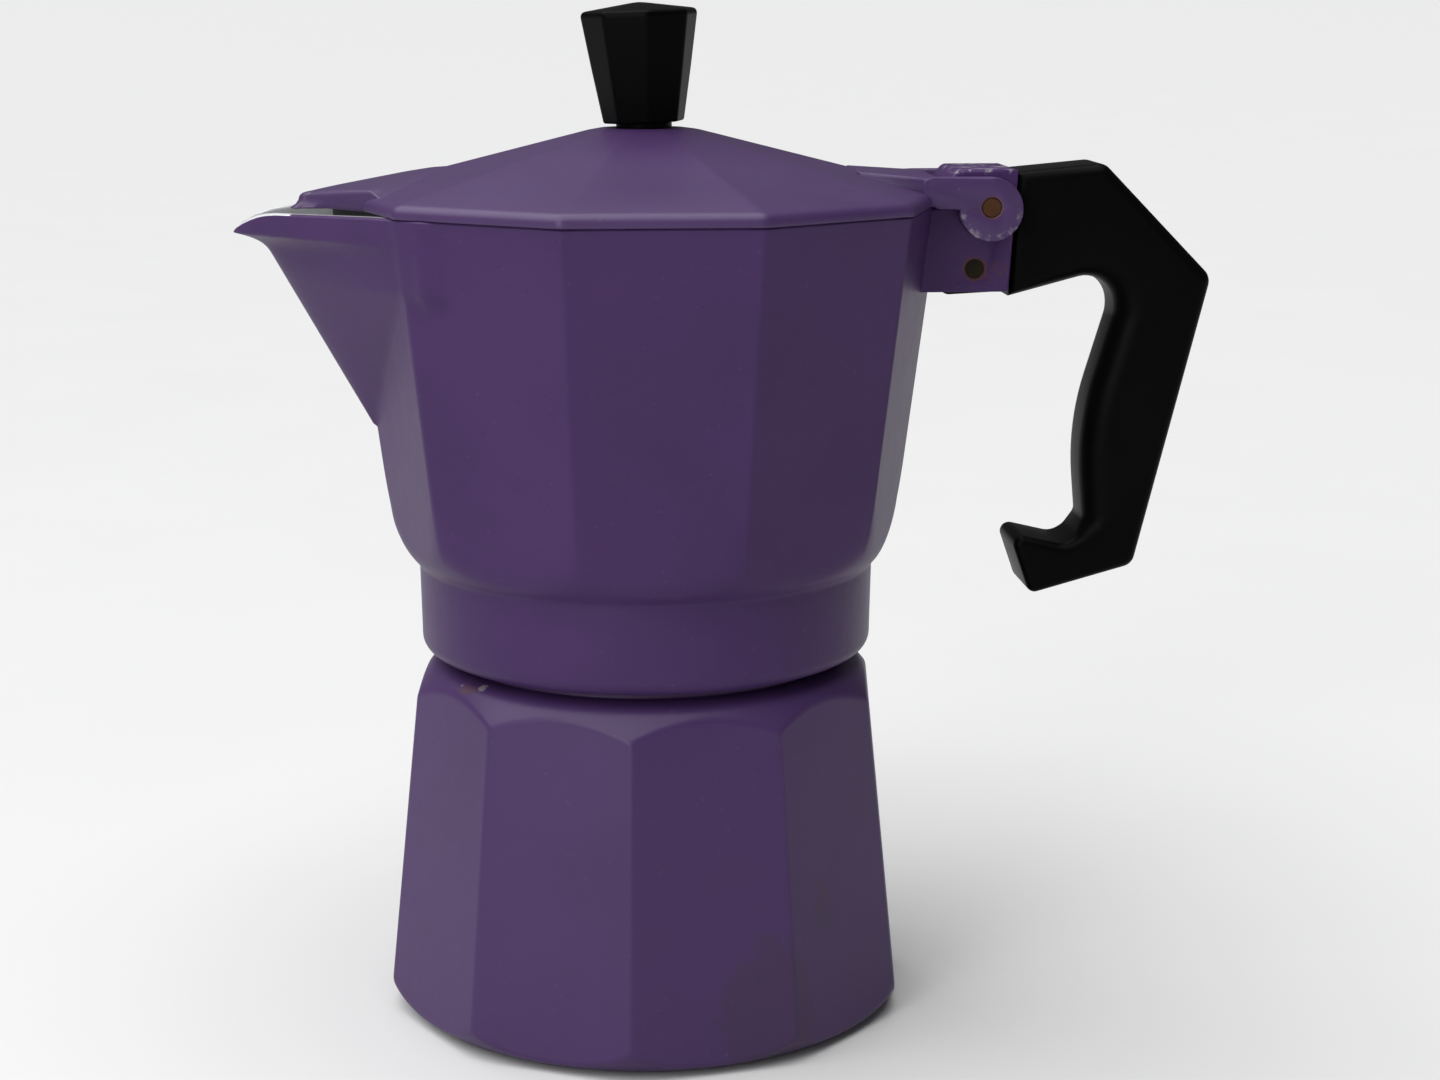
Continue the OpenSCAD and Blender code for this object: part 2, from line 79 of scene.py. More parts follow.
HINGE_X, HINGE_Z, PIN_R = 53.8, 130.6, 1.45
BRACKET_W, BRACKET_LOW_Z, BRACKET_TOP_Z, BRACKET_BACK_X = 16.0, 117.0, 136.3, 58.6
SWEEP_R, EYE_R, EYE_OUT, EYE_IN = 7.4, 5.0, 11.55, 8.35
LOW_PIN_X, LOW_PIN_Z = 51.9, 120.7
HANDLE_W, HANDLE_EDGE, HANDLE_FINGER_EDGE, HANDLE_TOE_EDGE = 14.0, 1.9, 4.4, 1.2
KNOB_LOW_R, KNOB_HIGH_R, KNOB_NECK_R, KNOB_NECK_Z, KNOB_SIDE_Z = 6.6, 9.45, 4.4, 0.9, 18.2
KNOB_LEAN, KNOB_TURN = math.radians(2.4), math.radians(4.8)


# ---- mesh helpers ----

def place(name, mesh, body, materials, replaces=()):
    """Links a mesh as a piece that rides on a body."""
    obj = bpy.data.objects.new(name, mesh)
    SCENE.collection.objects.link(obj)
    kinds = [p.material_index for p in mesh.polygons]
    mesh.materials.clear()
    for m in materials:
        mesh.materials.append(m)
    mesh.polygons.foreach_set("material_index", kinds)
    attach(obj, body)
    if replaces:
        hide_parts(*replaces)
    return obj


def smooth(mesh, sharp=50):
    """Smooth shading, broken at edges sharper than an angle in degrees."""
    mesh.shade_smooth()
    mesh.set_sharp_from_angle(angle=math.radians(sharp))
    return mesh


def grid_mesh(name, points, bands=(), sharp=50, closed=True):
    """Mesh of rows of points, shape (rows, columns, 3), in millimetres. A row gathered in one point
    becomes a pole. bands are (first row, material index) pairs."""
    rows, cols = points.shape[:2]
    verts, index = [], np.zeros((rows, cols), int)
    for i in range(rows):
        pole = i in (0, rows - 1) and np.ptp(points[i], axis=0).max() < 1e-6
        start = len(verts)
        verts.extend(points[i][:1] if pole else points[i])
        index[i] = start if pole else start + np.arange(cols)
    faces, kinds = [], []
    for i in range(rows - 1):
        kind = [m for first, m in bands if i >= first][-1] if bands else 0
        for j in range(cols if closed else cols - 1):
            k = (j + 1) % cols
            ring = [index[i][j], index[i][k], index[i + 1][k], index[i + 1][j]]
            ring = [v for n, v in enumerate(ring) if v != ring[n - 1]]
            if len(ring) > 2:
                faces.append(ring)
                kinds.append(kind)
    mesh = bpy.data.meshes.new(name)
    mesh.from_pydata([tuple(v * MM for v in p) for p in verts], [], faces)
    mesh.polygons.foreach_set("material_index", kinds)
    mesh.update()
    fix_normals(mesh)
    return smooth(mesh, sharp)


def fix_normals(mesh):
    bm = bmesh.new()
    bm.from_mesh(mesh)
    bmesh.ops.recalc_face_normals(bm, faces=bm.faces)
    bm.to_mesh(mesh)
    bm.free()


def soft_rows(corners, steps=5):
    """Rows of a section outline: corners are (r, z, setback), whose r and z may be arrays with one value
    per column. Each corner is rounded from one setback before it to one setback after it, and two
    corners share a short edge between them."""
    count = max(np.size(v) for c in corners for v in c[:2])
    pts = [np.stack([np.broadcast_to(np.asarray(v, float), (count,)) for v in c[:2]], -1) for c in corners]
    rows = []
    for i, q in enumerate(pts):
        setback = corners[i][2] if len(corners[i]) > 2 else 0
        if not setback or i in (0, len(pts) - 1):
            rows.append(q)
            continue
        to_prev, to_next = pts[i - 1] - q, pts[i + 1] - q
        len_prev = np.linalg.norm(to_prev, axis=-1, keepdims=True)
        len_next = np.linalg.norm(to_next, axis=-1, keepdims=True)
        before, after = (corners[k][2] if len(corners[k]) > 2 else 0 for k in (i - 1, i + 1))
        a = q + to_prev / len_prev * np.minimum(setback, 0.96 * len_prev * setback / (setback + before))
        b = q + to_next / len_next * np.minimum(setback, 0.96 * len_next * setback / (setback + after))
        for t in np.linspace(0, 1, steps):
            rows.append((1 - t) ** 2 * a + 2 * t * (1 - t) * q + t * t * b)
    return np.array(rows)


def around(theta, rz):
    """Points in space of (r, z) rows at the column angles theta."""
    r, z = (np.broadcast_to(rz[..., k], (len(rz), len(theta))) for k in (0, 1))
    return np.stack([r * np.cos(theta), r * np.sin(theta), z], -1)


CORNER_STEPS = (0, 0.22, 0.45, 0.7, 1.0, 1.4, 2.0, 3.0, 4.5, 6.5, 9, 11.5, 14, 16.2)


def facet_angles(turn=0.0, sides=10):
    """Column angles, close together at the corners of a many-sided section."""
    half = 180 / sides
    steps = [s for s in CORNER_STEPS if s < half]
    one = sorted({-s for s in steps} | set(steps) | {half})
    return np.radians(np.array([turn + 2 * half * k + s for k in range(sides) for s in one]))


def sided_r(corner_r, theta, turn=0.0, rounding=1.5, sides=10):
    """Distance to a regular many-sided outline whose corners are rounded."""
    step = 2 * math.pi / sides
    half = step / 2
    phi = np.abs((theta - math.radians(turn) + half) % step - half)
    corner_r = np.asarray(corner_r, float)
    flat = corner_r * math.cos(half) / np.cos(half - phi)
    c = corner_r - rounding / math.cos(half)
    reach = np.arctan2(rounding * math.sin(half), c + rounding * math.cos(half))
    arc = c * np.cos(phi) + np.sqrt(np.maximum(rounding ** 2 - (c * np.sin(phi)) ** 2, 0))
    return np.where(phi < reach, arc, flat)


def soft_min(a, b, k):
    h = np.clip(0.5 + 0.5 * (b - a) / k, 0, 1)
    return b + (a - b) * h - k * h * (1 - h)


def soft_max(a, b, k):
    return -soft_min(-a, -b, k)


def lathe(name, corners, columns, steps=5):
    """Round body of a section outline."""
    theta = np.linspace(0, 2 * math.pi, columns, endpoint=False)
    return grid_mesh(name, around(theta, soft_rows(corners, steps)))


def extrude(outline, low, high, axis="y"):
    """Closed prism of an outline. Along y the outline is (x, z) and along z it is (x, y)."""
    bm = bmesh.new()

    def at(p, h):
        return (p[0] * MM, h * MM, p[1] * MM) if axis == "y" else (p[0] * MM, p[1] * MM, h * MM)
    ends = [[bm.verts.new(at(p, h)) for p in outline] for h in (low, high)]
    bm.faces.new(ends[0])
    bm.faces.new(ends[1][::-1])
    n = len(outline)
    for i in range(n):
        bm.faces.new([ends[0][i], ends[0][(i + 1) % n], ends[1][(i + 1) % n], ends[1][i]])
    bmesh.ops.recalc_face_normals(bm, faces=bm.faces)
    mesh = bpy.data.meshes.new("prism")
    bm.to_mesh(mesh)
    bm.free()
    return mesh


def hull(points):
    """Convex solid round some points."""
    bm = bmesh.new()
    for p in points:
        bm.verts.new([v * MM for v in p])
    bmesh.ops.convex_hull(bm, input=bm.verts)
    mesh = bpy.data.meshes.new("hull")
    bm.to_mesh(mesh)
    bm.free()
    return mesh


def rod(radius, length, centre, axis="y"):
    """Plain cylinder, used as a cutter."""
    angles = np.linspace(0, 2 * math.pi, 48, endpoint=False)
    ring = [(radius * math.cos(a), radius * math.sin(a)) for a in angles]
    mesh = extrude(ring, -length / 2, length / 2, axis)
    mesh.transform(Matrix.Translation([v * MM for v in centre]))
    return mesh


def boolean(mesh, other, operation="DIFFERENCE"):
    """mesh cut by, or joined with, another mesh."""
    a = bpy.data.objects.new("a", mesh)
    b = bpy.data.objects.new("b", other)
    for o in (a, b):
        SCENE.collection.objects.link(o)
    mod = a.modifiers.new("cut", "BOOLEAN")
    mod.operation, mod.object, mod.solver = operation, b, "EXACT"
    result = evaluated(a)
    for o in (a, b):
        bpy.data.objects.remove(o)
    return result


def evaluated(obj):
    """A new mesh with the object's modifiers applied."""
    bpy.context.view_layer.update()
    return bpy.data.meshes.new_from_object(obj.evaluated_get(bpy.context.evaluated_depsgraph_get()))


def bevelled(mesh, width, segments=3, angle=30):
    """mesh with its edges rounded."""
    bm = bmesh.new()
    bm.from_mesh(mesh)
    bmesh.ops.remove_doubles(bm, verts=bm.verts, dist=1e-6)
    bmesh.ops.dissolve_limit(bm, angle_limit=math.radians(0.5), verts=bm.verts, edges=bm.edges)
    bm.to_mesh(mesh)
    bm.free()
    obj = bpy.data.objects.new("bevel", mesh)
    SCENE.collection.objects.link(obj)
    mod = obj.modifiers.new("bevel", "BEVEL")
    mod.width, mod.segments, mod.limit_method = width * MM, segments, "ANGLE"
    mod.angle_limit = math.radians(angle)
    mod.use_clamp_overlap = True
    mod.harden_normals = True
    result = evaluated(obj)
    bpy.data.objects.remove(obj)
    result.shade_smooth()
    return result


def rounded_outline(points, steps=8):
    """Closed outline whose entries are (x, y, rounding radius)."""
    out, n = [], len(points)
    for i, (x, y, radius) in enumerate(points):
        q = Vector((x, y))
        u = (Vector(points[i - 1][:2]) - q).normalized()
        v = (Vector(points[(i + 1) % n][:2]) - q).normalized()
        half = u.angle(v) / 2
        if radius <= 0 or half > 1.55:
            out.append((x, y))
            continue
        centre = q + (u + v).normalized() * radius / math.sin(half)
        start = q + u * radius / math.tan(half) - centre
        turn = start.angle_signed(q + v * radius / math.tan(half) - centre)
        for k in range(steps + 1):
            a = -turn * k / steps
            out.append((centre.x + start.x * math.cos(a) - start.y * math.sin(a),
                        centre.y + start.x * math.sin(a) + start.y * math.cos(a)))
    return out


def arc_points(x, z, radius, a0, a1, steps=12):
    return [(x + radius * math.cos(math.radians(a)), z + radius * math.sin(math.radians(a)))
            for a in np.linspace(a0, a1, steps + 1)]


def ridge(name, root_r, crest_r, low_z, turns, base=1.1, crest=0.3):
    """Helical thread ridge with faded ends."""
    per_turn = 96
    count = int(per_turn * turns)
    i = np.arange(count + 1)
    theta = 2 * math.pi * i / per_turn
    z = low_z + THREAD_LEAD * i / per_turn
    fade = np.minimum(1, np.minimum(i, count - i) / 14)
    top = root_r + (crest_r - root_r) * fade
    rows = []
    for share, half in ((0, base), (0.75, 0.5 * (base + crest)), (1, crest), (1, -crest),
                        (0.75, -0.5 * (base + crest)), (0, -base)):
        r = root_r + (top - root_r) * share
        rows.append(np.stack([r * np.cos(theta), r * np.sin(theta), z + half], -1))
    return grid_mesh(name, np.array(rows), sharp=70, closed=False)


# ---- materials ----

class Nodes:
    """Short calls for building one node material."""

    def __init__(self, name):
        self.mat = bpy.data.materials.new(name)
        self.mat.use_nodes = True
        self.tree = self.mat.node_tree
        self.tree.nodes.clear()
        self.out = self.tree.nodes.new("ShaderNodeOutputMaterial")
        self.bsdf = self.tree.nodes.new("ShaderNodeBsdfPrincipled")
        self.link(self.bsdf.outputs[0], self.out.inputs[0])
        self.where = self.tree.nodes.new("ShaderNodeTexCoord").outputs["Object"]

    def link(self, a, b):
        self.tree.links.new(a, b)

    def put(self, socket, value):
        if hasattr(value, "is_linked"):
            self.link(value, socket)
        else:
            socket.default_value = value

    def set(self, **values):
        for key, value in values.items():
            name = key.replace("_", " ").title().replace("Ior", "IOR")
            self.put(self.bsdf.inputs[name], value)

    def noise(self, size, detail=3, rough=0.5, seed=0.0):
        """Noise with features of about size millimetres, from 0 to 1."""
        n = self.tree.nodes.new("ShaderNodeTexNoise")
        n.noise_dimensions = "4D"
        n.inputs["W"].default_value = seed
        n.inputs["Scale"].default_value = 1 / (size * MM)
        n.inputs["Detail"].default_value = detail
        n.inputs["Roughness"].default_value = rough
        self.link(self.where, n.inputs["Vector"])
        return n.outputs["Fac"]

    def math(self, operation, a, b=0.0, c=0.0, clamp=False):
        n = self.tree.nodes.new("ShaderNodeMath")
        n.operation, n.use_clamp = operation, clamp
        for socket, value in zip(n.inputs, (a, b, c)):
            self.put(socket, value)
        return n.outputs[0]

    def step(self, value, low, high, to_low=0.0, to_high=1.0):
        """Smooth step of a value from low to high."""
        n = self.tree.nodes.new("ShaderNodeMapRange")
        n.interpolation_type = "SMOOTHSTEP"
        keys = ("Value", "From Min", "From Max", "To Min", "To Max")
        for key, v in zip(keys, (value, low, high, to_low, to_high)):
            self.put(n.inputs[key], v)
        return n.outputs[0]

    def mix(self, share, a, b):
        """Colour between a and b."""
        n = self.tree.nodes.new("ShaderNodeMix")
        n.data_type = "RGBA"
        self.put(n.inputs["Factor"], share)
        for key, v in (("A", a), ("B", b)):
            socket = [s for s in n.inputs if s.name == key and s.type == "RGBA"][0]
            self.put(socket, (*v, 1) if isinstance(v, tuple) else v)
        return [s for s in n.outputs if s.type == "RGBA"][0]

    def axis(self, name):
        n = self.tree.nodes.new("ShaderNodeSeparateXYZ")
        self.link(self.where, n.inputs[0])
        return n.outputs[name]

    def near(self, centre, radius, ragged=0.5, stretch=(1, 1, 1), grain=None, seed=0.0):
        """Mask of a ragged spot round a point in millimetres."""
        shift = self.tree.nodes.new("ShaderNodeVectorMath")
        shift.operation = "SUBTRACT"
        self.link(self.where, shift.inputs[0])
        shift.inputs[1].default_value = [v * MM for v in centre]
        scale = self.tree.nodes.new("ShaderNodeVectorMath")
        scale.operation = "MULTIPLY"
        self.link(shift.outputs[0], scale.inputs[0])
        scale.inputs[1].default_value = stretch
        length = self.tree.nodes.new("ShaderNodeVectorMath")
        length.operation = "LENGTH"
        self.link(scale.outputs[0], length.inputs[0])
        wobble = self.noise(grain or radius * 0.8, 4, 0.65, seed=seed)
        offset = self.math("MULTIPLY_ADD", wobble, 2 * ragged * radius * MM, -ragged * radius * MM)
        return self.step(self.math("ADD", length.outputs["Value"], offset), radius * MM, radius * 0.8 * MM)

    def either(self, *masks):
        total = masks[0]
        for m in masks[1:]:
            total = self.math("MAXIMUM", total, m)
        return total

    def worn_edge(self, low, high, grain=2.0, seed=0.0):
        """Mask of convex edges, broken up by noise."""
        geo = self.tree.nodes.new("ShaderNodeNewGeometry").outputs["Pointiness"]
        edge = self.step(geo, low, high)
        return self.math("MULTIPLY", edge, self.step(self.noise(grain, 4, 0.6, seed=seed), 0.45, 0.62))

    def bump(self, height, distance, after=None):
        n = self.tree.nodes.new("ShaderNodeBump")
        n.inputs["Strength"].default_value = 1.0
        n.inputs["Distance"].default_value = distance * MM
        self.link(height, n.inputs["Height"])
        if after:
            self.link(after, n.inputs["Normal"])
        return n.outputs[0]


PURPLE = (0.047, 0.0205, 0.083)
BARE = (0.50, 0.49, 0.48)


def paint(name, spots=None, edge=None):
    """Satin enamel on cast aluminium. spots(nodes) may give (bare, rust, dark) masks; on the hinge the rust
    mask is painted shade round the pin.
    """
    m = Nodes(name)
    cloud = m.noise(26, 4, 0.55, seed=1.0)
    fine = m.noise(2.6, 3, 0.6, seed=2.0)
    dust = m.noise(0.7, 2, 0.6, seed=3.0)
    colour = m.mix(m.step(cloud, 0.3, 0.7), tuple(c * 0.93 for c in PURPLE), tuple(c * 1.06 for c in PURPLE))
    colour = m.mix(m.step(fine, 0.35, 0.75, 0, 0.12), colour, tuple(c * 0.75 for c in PURPLE))
    colour = m.mix(m.step(dust, 0.64, 0.78, 0, 0.10), colour, (0.24, 0.20, 0.28))
    rough = m.math("MULTIPLY_ADD", cloud, 0.16, 0.33)
    rough = m.math("MULTIPLY_ADD", fine, 0.06, rough)
    metal = 0.0
    bare, rust, dark = spots(m) if spots else (None, None, None)
    if edge:
        worn = m.worn_edge(*edge)
        bare = worn if bare is None else m.either(bare, worn)
    if dark is not None:
        colour = m.mix(m.math("MULTIPLY", dark, 0.42), colour, (0.035, 0.022, 0.045))
    if bare is not None:
        colour = m.mix(bare, colour, BARE)
        metal = bare
        rough = m.math("MULTIPLY_ADD", bare, -0.08, rough)
    if rust is not None:
        # Rust-brown marks; round the hinge pin they are painted shade of the pin's recess.
        colour = m.mix(rust, colour, (0.075, 0.032, 0.022))
        rough = m.math("MULTIPLY_ADD", rust, 0.25, rough)
        metal = m.math("SUBTRACT", metal, rust, clamp=True) if bare is not None else 0.0
    m.set(base_color=colour, roughness=rough, metallic=metal)
    m.bsdf.inputs["Specular IOR Level"].default_value = 0.24
    m.bsdf.inputs["Coat Weight"].default_value = 0.05
    m.bsdf.inputs["Coat Roughness"].default_value = 0.28
    peel = m.bump(m.noise(1.5, 2, 0.4, seed=5.0), 0.018)
    waves = m.bump(m.noise(11, 2, 0.5, seed=6.0), 0.10, after=peel)
    if bare is not None:
        waves = m.bump(m.math("SUBTRACT", 1.0, bare), 0.05, after=waves)
    m.set(normal=waves)
    return m.mat


def metal(name, colour, rough, grain=0.35, stain=0.0, stain_colour=(0.12, 0.08, 0.05), depth=0.02):
    """Plain metal with fine grain and cloudy tarnish."""
    m = Nodes(name)
    cloud = m.noise(9, 5, 0.6, seed=11.0)
    fine = m.noise(grain, 3, 0.6, seed=12.0)
    tint = m.mix(m.step(cloud, 0.3, 0.72), tuple(c * 0.82 for c in colour), colour)
    if stain:
        tint = m.mix(m.step(m.noise(5, 6, 0.65, seed=13.0), 0.5, 0.72, 0, stain), tint, stain_colour)
    m.set(base_color=tint, metallic=1.0,
          roughness=m.math("MULTIPLY_ADD", fine, 0.18, m.math("MULTIPLY_ADD", cloud, 0.14, rough - 0.16)))
    m.set(normal=m.bump(fine, depth))
    return m.mat


def soft_solid(name, colour, rough, size=0.8, depth=0.02, vary=0.15):
    """Rubber, fibre or plastic with a fine moulded grain."""
    m = Nodes(name)
    cloud = m.noise(12, 4, 0.6, seed=21.0)
    grain = m.noise(size, 3, 0.6, seed=22.0)
    m.set(base_color=m.mix(m.step(cloud, 0.3, 0.7), tuple(c * (1 - vary) for c in colour),
                           tuple(c * (1 + vary) for c in colour)),
          roughness=m.math("MULTIPLY_ADD", cloud, 0.14, m.math("MULTIPLY_ADD", grain, 0.08, rough - 0.1)))
    m.set(normal=m.bump(grain, depth))
    return m.mat


# ---- paint marks: centres in millimetres, on the object itself ----

def boiler_marks(m):
    chips = m.either(m.near((-26.5, -20.5, 56.6), 1.1, 0.8, seed=31.0),
                     m.near((-29.5, -17.0, 56.2), 0.8, 0.8, seed=32.0))
    crack = m.near((-28.2, -18.5, 56.3), 2.4, 0.8, (1, 1, 3.0), 1.2, seed=33.0)
    smudge = m.either(m.near((17, -38.5, 9), 9, 0.7, (1, 1, 0.7), 5, seed=34.0),
                      m.near((27, -31, 24), 3.0, 0.8, (1, 1, 0.6), 3, seed=35.0),
                      m.near((-14, -39, 38), 1.2, 0.9, seed=36.0))
    specks = m.step(m.noise(2.4, 2, 0.7, seed=37.0), 0.735, 0.77)
    return (m.math("MULTIPLY", chips, 0.4), m.math("MULTIPLY", crack, 0.5), m.either(smudge, specks))


def collector_marks(m):
    chip = m.near((-12.2, -37.6, 74.9), 0.62, 0.7, (1, 1, 0.8), seed=41.0)
    spout = m.near((-47.2, -11.5, 108.0), 1.1, 0.9, (0.7, 0.7, 1.5), seed=42.0)
    specks = m.step(m.noise(2.2, 2, 0.7, seed=43.0), 0.74, 0.775)
    return (chip, m.math("MULTIPLY", spout, 0.8), specks)


def bracket_marks(m):
    # Darker brown ring round the lower pin.
    stain = m.near((LOW_PIN_X, -8, LOW_PIN_Z), 2.15, 0.45, (1, 1, 1), 1.0, seed=51.0)
    rust = m.math("MULTIPLY", m.near((54.6, -8, 120.2), 1.9, 0.9, (0.6, 1, 1), 1.0, seed=52.0),
                  m.step(m.noise(0.7, 3, 0.7, seed=55.0), 0.5, 0.62))
    top = m.math("MULTIPLY", m.step(m.axis("Z"), 0.1354, 0.1362),
                 m.step(m.noise(1.8, 5, 0.7, seed=53.0), 0.50, 0.60))
    return (m.math("MULTIPLY", top, 0.4), m.math("MULTIPLY", m.either(stain, rust), 0.8),
            m.step(m.noise(3, 3, 0.6, seed=54.0), 0.7, 0.8))


def hinge_marks(m):
    eye = (HINGE_X, -EYE_OUT, HINGE_Z - 0.3)
    outer = m.math("SUBTRACT", 1.0, m.near(eye, EYE_R - 0.45, 0.04, (1, 0.2, 1), seed=61.0))
    worn = m.math("MULTIPLY", outer, m.step(m.noise(1.3, 4, 0.7, seed=62.0), 0.50, 0.62))
    low = m.math("MULTIPLY", worn, m.math("SUBTRACT", 1.0, m.step(m.axis("Z"), 0.1285, 0.1310)))
    # Dark ring round the pin: painted shade of the pin's recess, in a rust-brown colour.
    rim = m.near((HINGE_X, -EYE_OUT, HINGE_Z), 2.0, 0.12, (1, 0.2, 1), 1.2, seed=64.0)
    return (m.math("MULTIPLY", low, 0.28), m.math("MULTIPLY", rim, 0.7),
            m.step(m.noise(3, 3, 0.6, seed=63.0), 0.72, 0.8))


PAINT = {
    "boiler": paint("paint_boiler", boiler_marks, (0.66, 0.72, 1.6, 71.0)),
    "collector": paint("paint_collector", collector_marks),
    "bracket": paint("paint_bracket", bracket_marks, (0.74, 0.84, 1.3, 72.0)),
    "lid": paint("paint_lid"),
    "cover": paint("paint_cover", None, (0.60, 0.72, 2.2, 73.0)),
    "hinge": paint("paint_hinge", hinge_marks, (0.70, 0.80, 1.3, 74.0)),
}
CAST = metal("cast_aluminium", (0.56, 0.56, 0.56), 0.46, 0.5, 0.35, depth=0.03)
LIP = metal("bare_lip", (0.78, 0.79, 0.80), 0.34, 0.6, depth=0.04)
SHEET = metal("pressed_aluminium", (0.68, 0.68, 0.69), 0.36, 0.3, 0.2)
STEEL = metal("steel", (0.60, 0.60, 0.62), 0.30, 0.25, 0.1)
BRASS = metal("brass", (0.46, 0.30, 0.15), 0.36, 0.3, 0.5, (0.10, 0.06, 0.03))
PIN_BRASS = metal("pin_brass", (0.095, 0.044, 0.022), 0.5, 0.5, 0.7, (0.03, 0.018, 0.012), depth=0.05)
RUST = soft_solid("rusted_pin", (0.012, 0.009, 0.005), 0.8, 0.5, 0.2, 0.6)
BLACK = soft_solid("black_plastic", (0.0016, 0.0016, 0.0018), 0.36, 0.55, 0.010, 0.12)
for surface, level in ((BLACK, 0.03), (RUST, 0.08), (PAINT["bracket"], 0.10), (PAINT["collector"], 0.13),
                       (PAINT["lid"], 0.32), (PAINT["cover"], 0.40)):
    surface.node_tree.nodes["Principled BSDF"].inputs["Specular IOR Level"].default_value = level
LIP.node_tree.nodes["Principled BSDF"].inputs["Metallic"].default_value = 0.2
GASKET = soft_solid("gasket_rubber", (0.62, 0.60, 0.54), 0.62, 0.6, 0.02)
SEAL = soft_solid("valve_rubber", (0.42, 0.09, 0.06), 0.55)
FIBRE = soft_solid("fibre", (0.26, 0.12, 0.06), 0.8, 0.4, 0.05, 0.3)


# ---- boiler ----

def boiler_line(theta):
    """Wall distance at the table and its fall per millimetre of height, per column."""
    low = sided_r(BOILER_BASE_R, theta, BOILER_TURN, 1.6)
    high = sided_r(BOILER_HIGH_R, theta, BOILER_TURN, 1.6)
    return low, (low - high) / 60


def base_angle(low, fall):
    """Angle on the base rounding where it meets the wall, by halving."""
    centre = BOILER_BASE_R - BASE_ROUND - 0.4
    a = np.full(low.shape, -math.pi / 2)
    b = np.zeros(low.shape)
    for _ in range(40):
        mid = (a + b) / 2
        outside = centre + BASE_ROUND * np.cos(mid) > low - fall * BASE_ROUND * (1 + np.sin(mid))
        b = np.where(outside, mid, b)
        a = np.where(outside, a, mid)
    return centre, a


def boiler_corners(theta):
    low, fall = boiler_line(theta)
    centre, meet = base_angle(low, fall)
    pull = math.tan(math.radians(DOME_ANGLE))
    crease = BOILER_BASE_R + (BOILER_HIGH_R - BOILER_BASE_R) * DOME_Z / 60
    crease_r = (low - fall * (DOME_Z + crease * pull)) / (1 - fall * pull)
    dome_z = DOME_Z + (crease - crease_r) * pull
    out = [(0, 0.6), (30.5, 0.6, 0.8), (31.4, 0, 0.5), (centre, 0)]
    for share in (0.2, 0.4, 0.6, 0.78, 0.92):
        a = -math.pi / 2 + (meet + math.pi / 2) * share
        out.append((centre + BASE_ROUND * np.cos(a), BASE_ROUND * (1 + np.sin(a))))
    out += [(centre + BASE_ROUND * np.cos(meet), BASE_ROUND * (1 + np.sin(meet)), 0.9),
            (low - fall * 20, 20), (low - fall * 36, 36),
            (crease_r, dome_z, 0.75),
            (34.9, DOME_Z + (crease - 34.9) * pull, 0.9),
            (33.5, SHOULDER_Z - 0.35, 0.6), (32.4, SHOULDER_Z), (THREAD_ROOT_R, SHOULDER_Z, 0.3),
            (THREAD_ROOT_R, NECK_Z - 0.6, 0.2), (THREAD_ROOT_R - 0.6, NECK_Z, 0.2),
            (NECK_BORE_R + 0.3, NECK_Z, 0.2), (NECK_BORE_R, NECK_Z - 0.4, 0.2), (NECK_BORE_R, 57, 1),
            (30.4, 54.4, 1), (33, 50, 1.5), (33.8, 46, 1.5), (34, 7.5, 1), (33, 5, 1), (30.5, 4, 1), (0, 4)]
    return out


def make_boiler():
    theta = facet_angles(BOILER_TURN)
    corners = boiler_corners(theta)
    rz = soft_rows(corners, 6)
    # Bare metal starts just above the ring's bottom, so the neck seen in the gap under the ring keeps the
    # dark paint: painted shade for that gap.
    bare_row = next(i for i in range(1, len(rz)) if rz[i, 0, 1] > RING_Z + 0.2 and rz[i, 0, 0] < RING_BORE_R)
    below, above = rz[bare_row - 1], rz[bare_row]
    share = (RING_Z + 0.2 - below[0, 1]) / (above[0, 1] - below[0, 1])
    rz = np.insert(rz, bare_row, below + (above - below) * share, axis=0)
    body = grid_mesh("boiler_shell", around(theta, rz), [(0, 0), (bare_row, 1)], 65)
    place("boiler_shell", body, "boiler", [PAINT["boiler"], CAST], ["boiler"])
    place("boiler_thread", ridge("boiler_thread", THREAD_ROOT_R - 0.4, THREAD_CREST_R, THREAD_LOW, 2),
          "boiler", [CAST])
    valve_low, valve_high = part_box("valve_washer")
    centre = (valve_low + valve_high) / 2 / MM
    facing = math.radians(BOILER_TURN + 90)
    boss = lathe("valve_boss", [(0, -3.6), (8.6, -3.6), (8.6, -0.5, 0.5), (0, -0.5)], 64, steps=6)
    turn = Matrix.Rotation(facing, 4, "Z") @ Matrix.Rotation(math.pi / 2, 4, "Y")
    boss.transform(Matrix.Translation(centre * MM) @ turn)
    place("valve_boss", boss, "boiler", [PAINT["boiler"]])


# ---- collector ----

def undercut_r(z):
    """Round foot below the collector's flats, as a distance at a height."""
    foot_r = RIM_R - (RIM_Z - FOOT_Z) * math.tan(LEAN)
    cx, cz = foot_r - FOOT_ROUND * math.cos(LEAN), FOOT_Z + FOOT_ROUND * math.sin(LEAN)
    arc = cx + np.sqrt(np.maximum(FOOT_ROUND ** 2 - (cz - z) ** 2, 0))
    end = math.radians(43)
    end_r, end_z = cx + FOOT_ROUND * math.cos(end), cz - FOOT_ROUND * math.sin(end)
    cone = end_r + (z - end_z) / math.tan(math.radians(47))
    above = foot_r + (z - FOOT_Z) * (math.tan(LEAN) + 0.12)
    return np.where(z < end_z, cone, np.where(z < FOOT_Z, arc, above))


def keel_r(z):
    """How far the spout's keel reaches at a height, with the flare at the tip."""
    return np.minimum(42.85 + (z - 94.4) * 0.5556 + 4.4 * np.maximum(0, (z - 122.5) / 4.15) ** 4, 64.9)


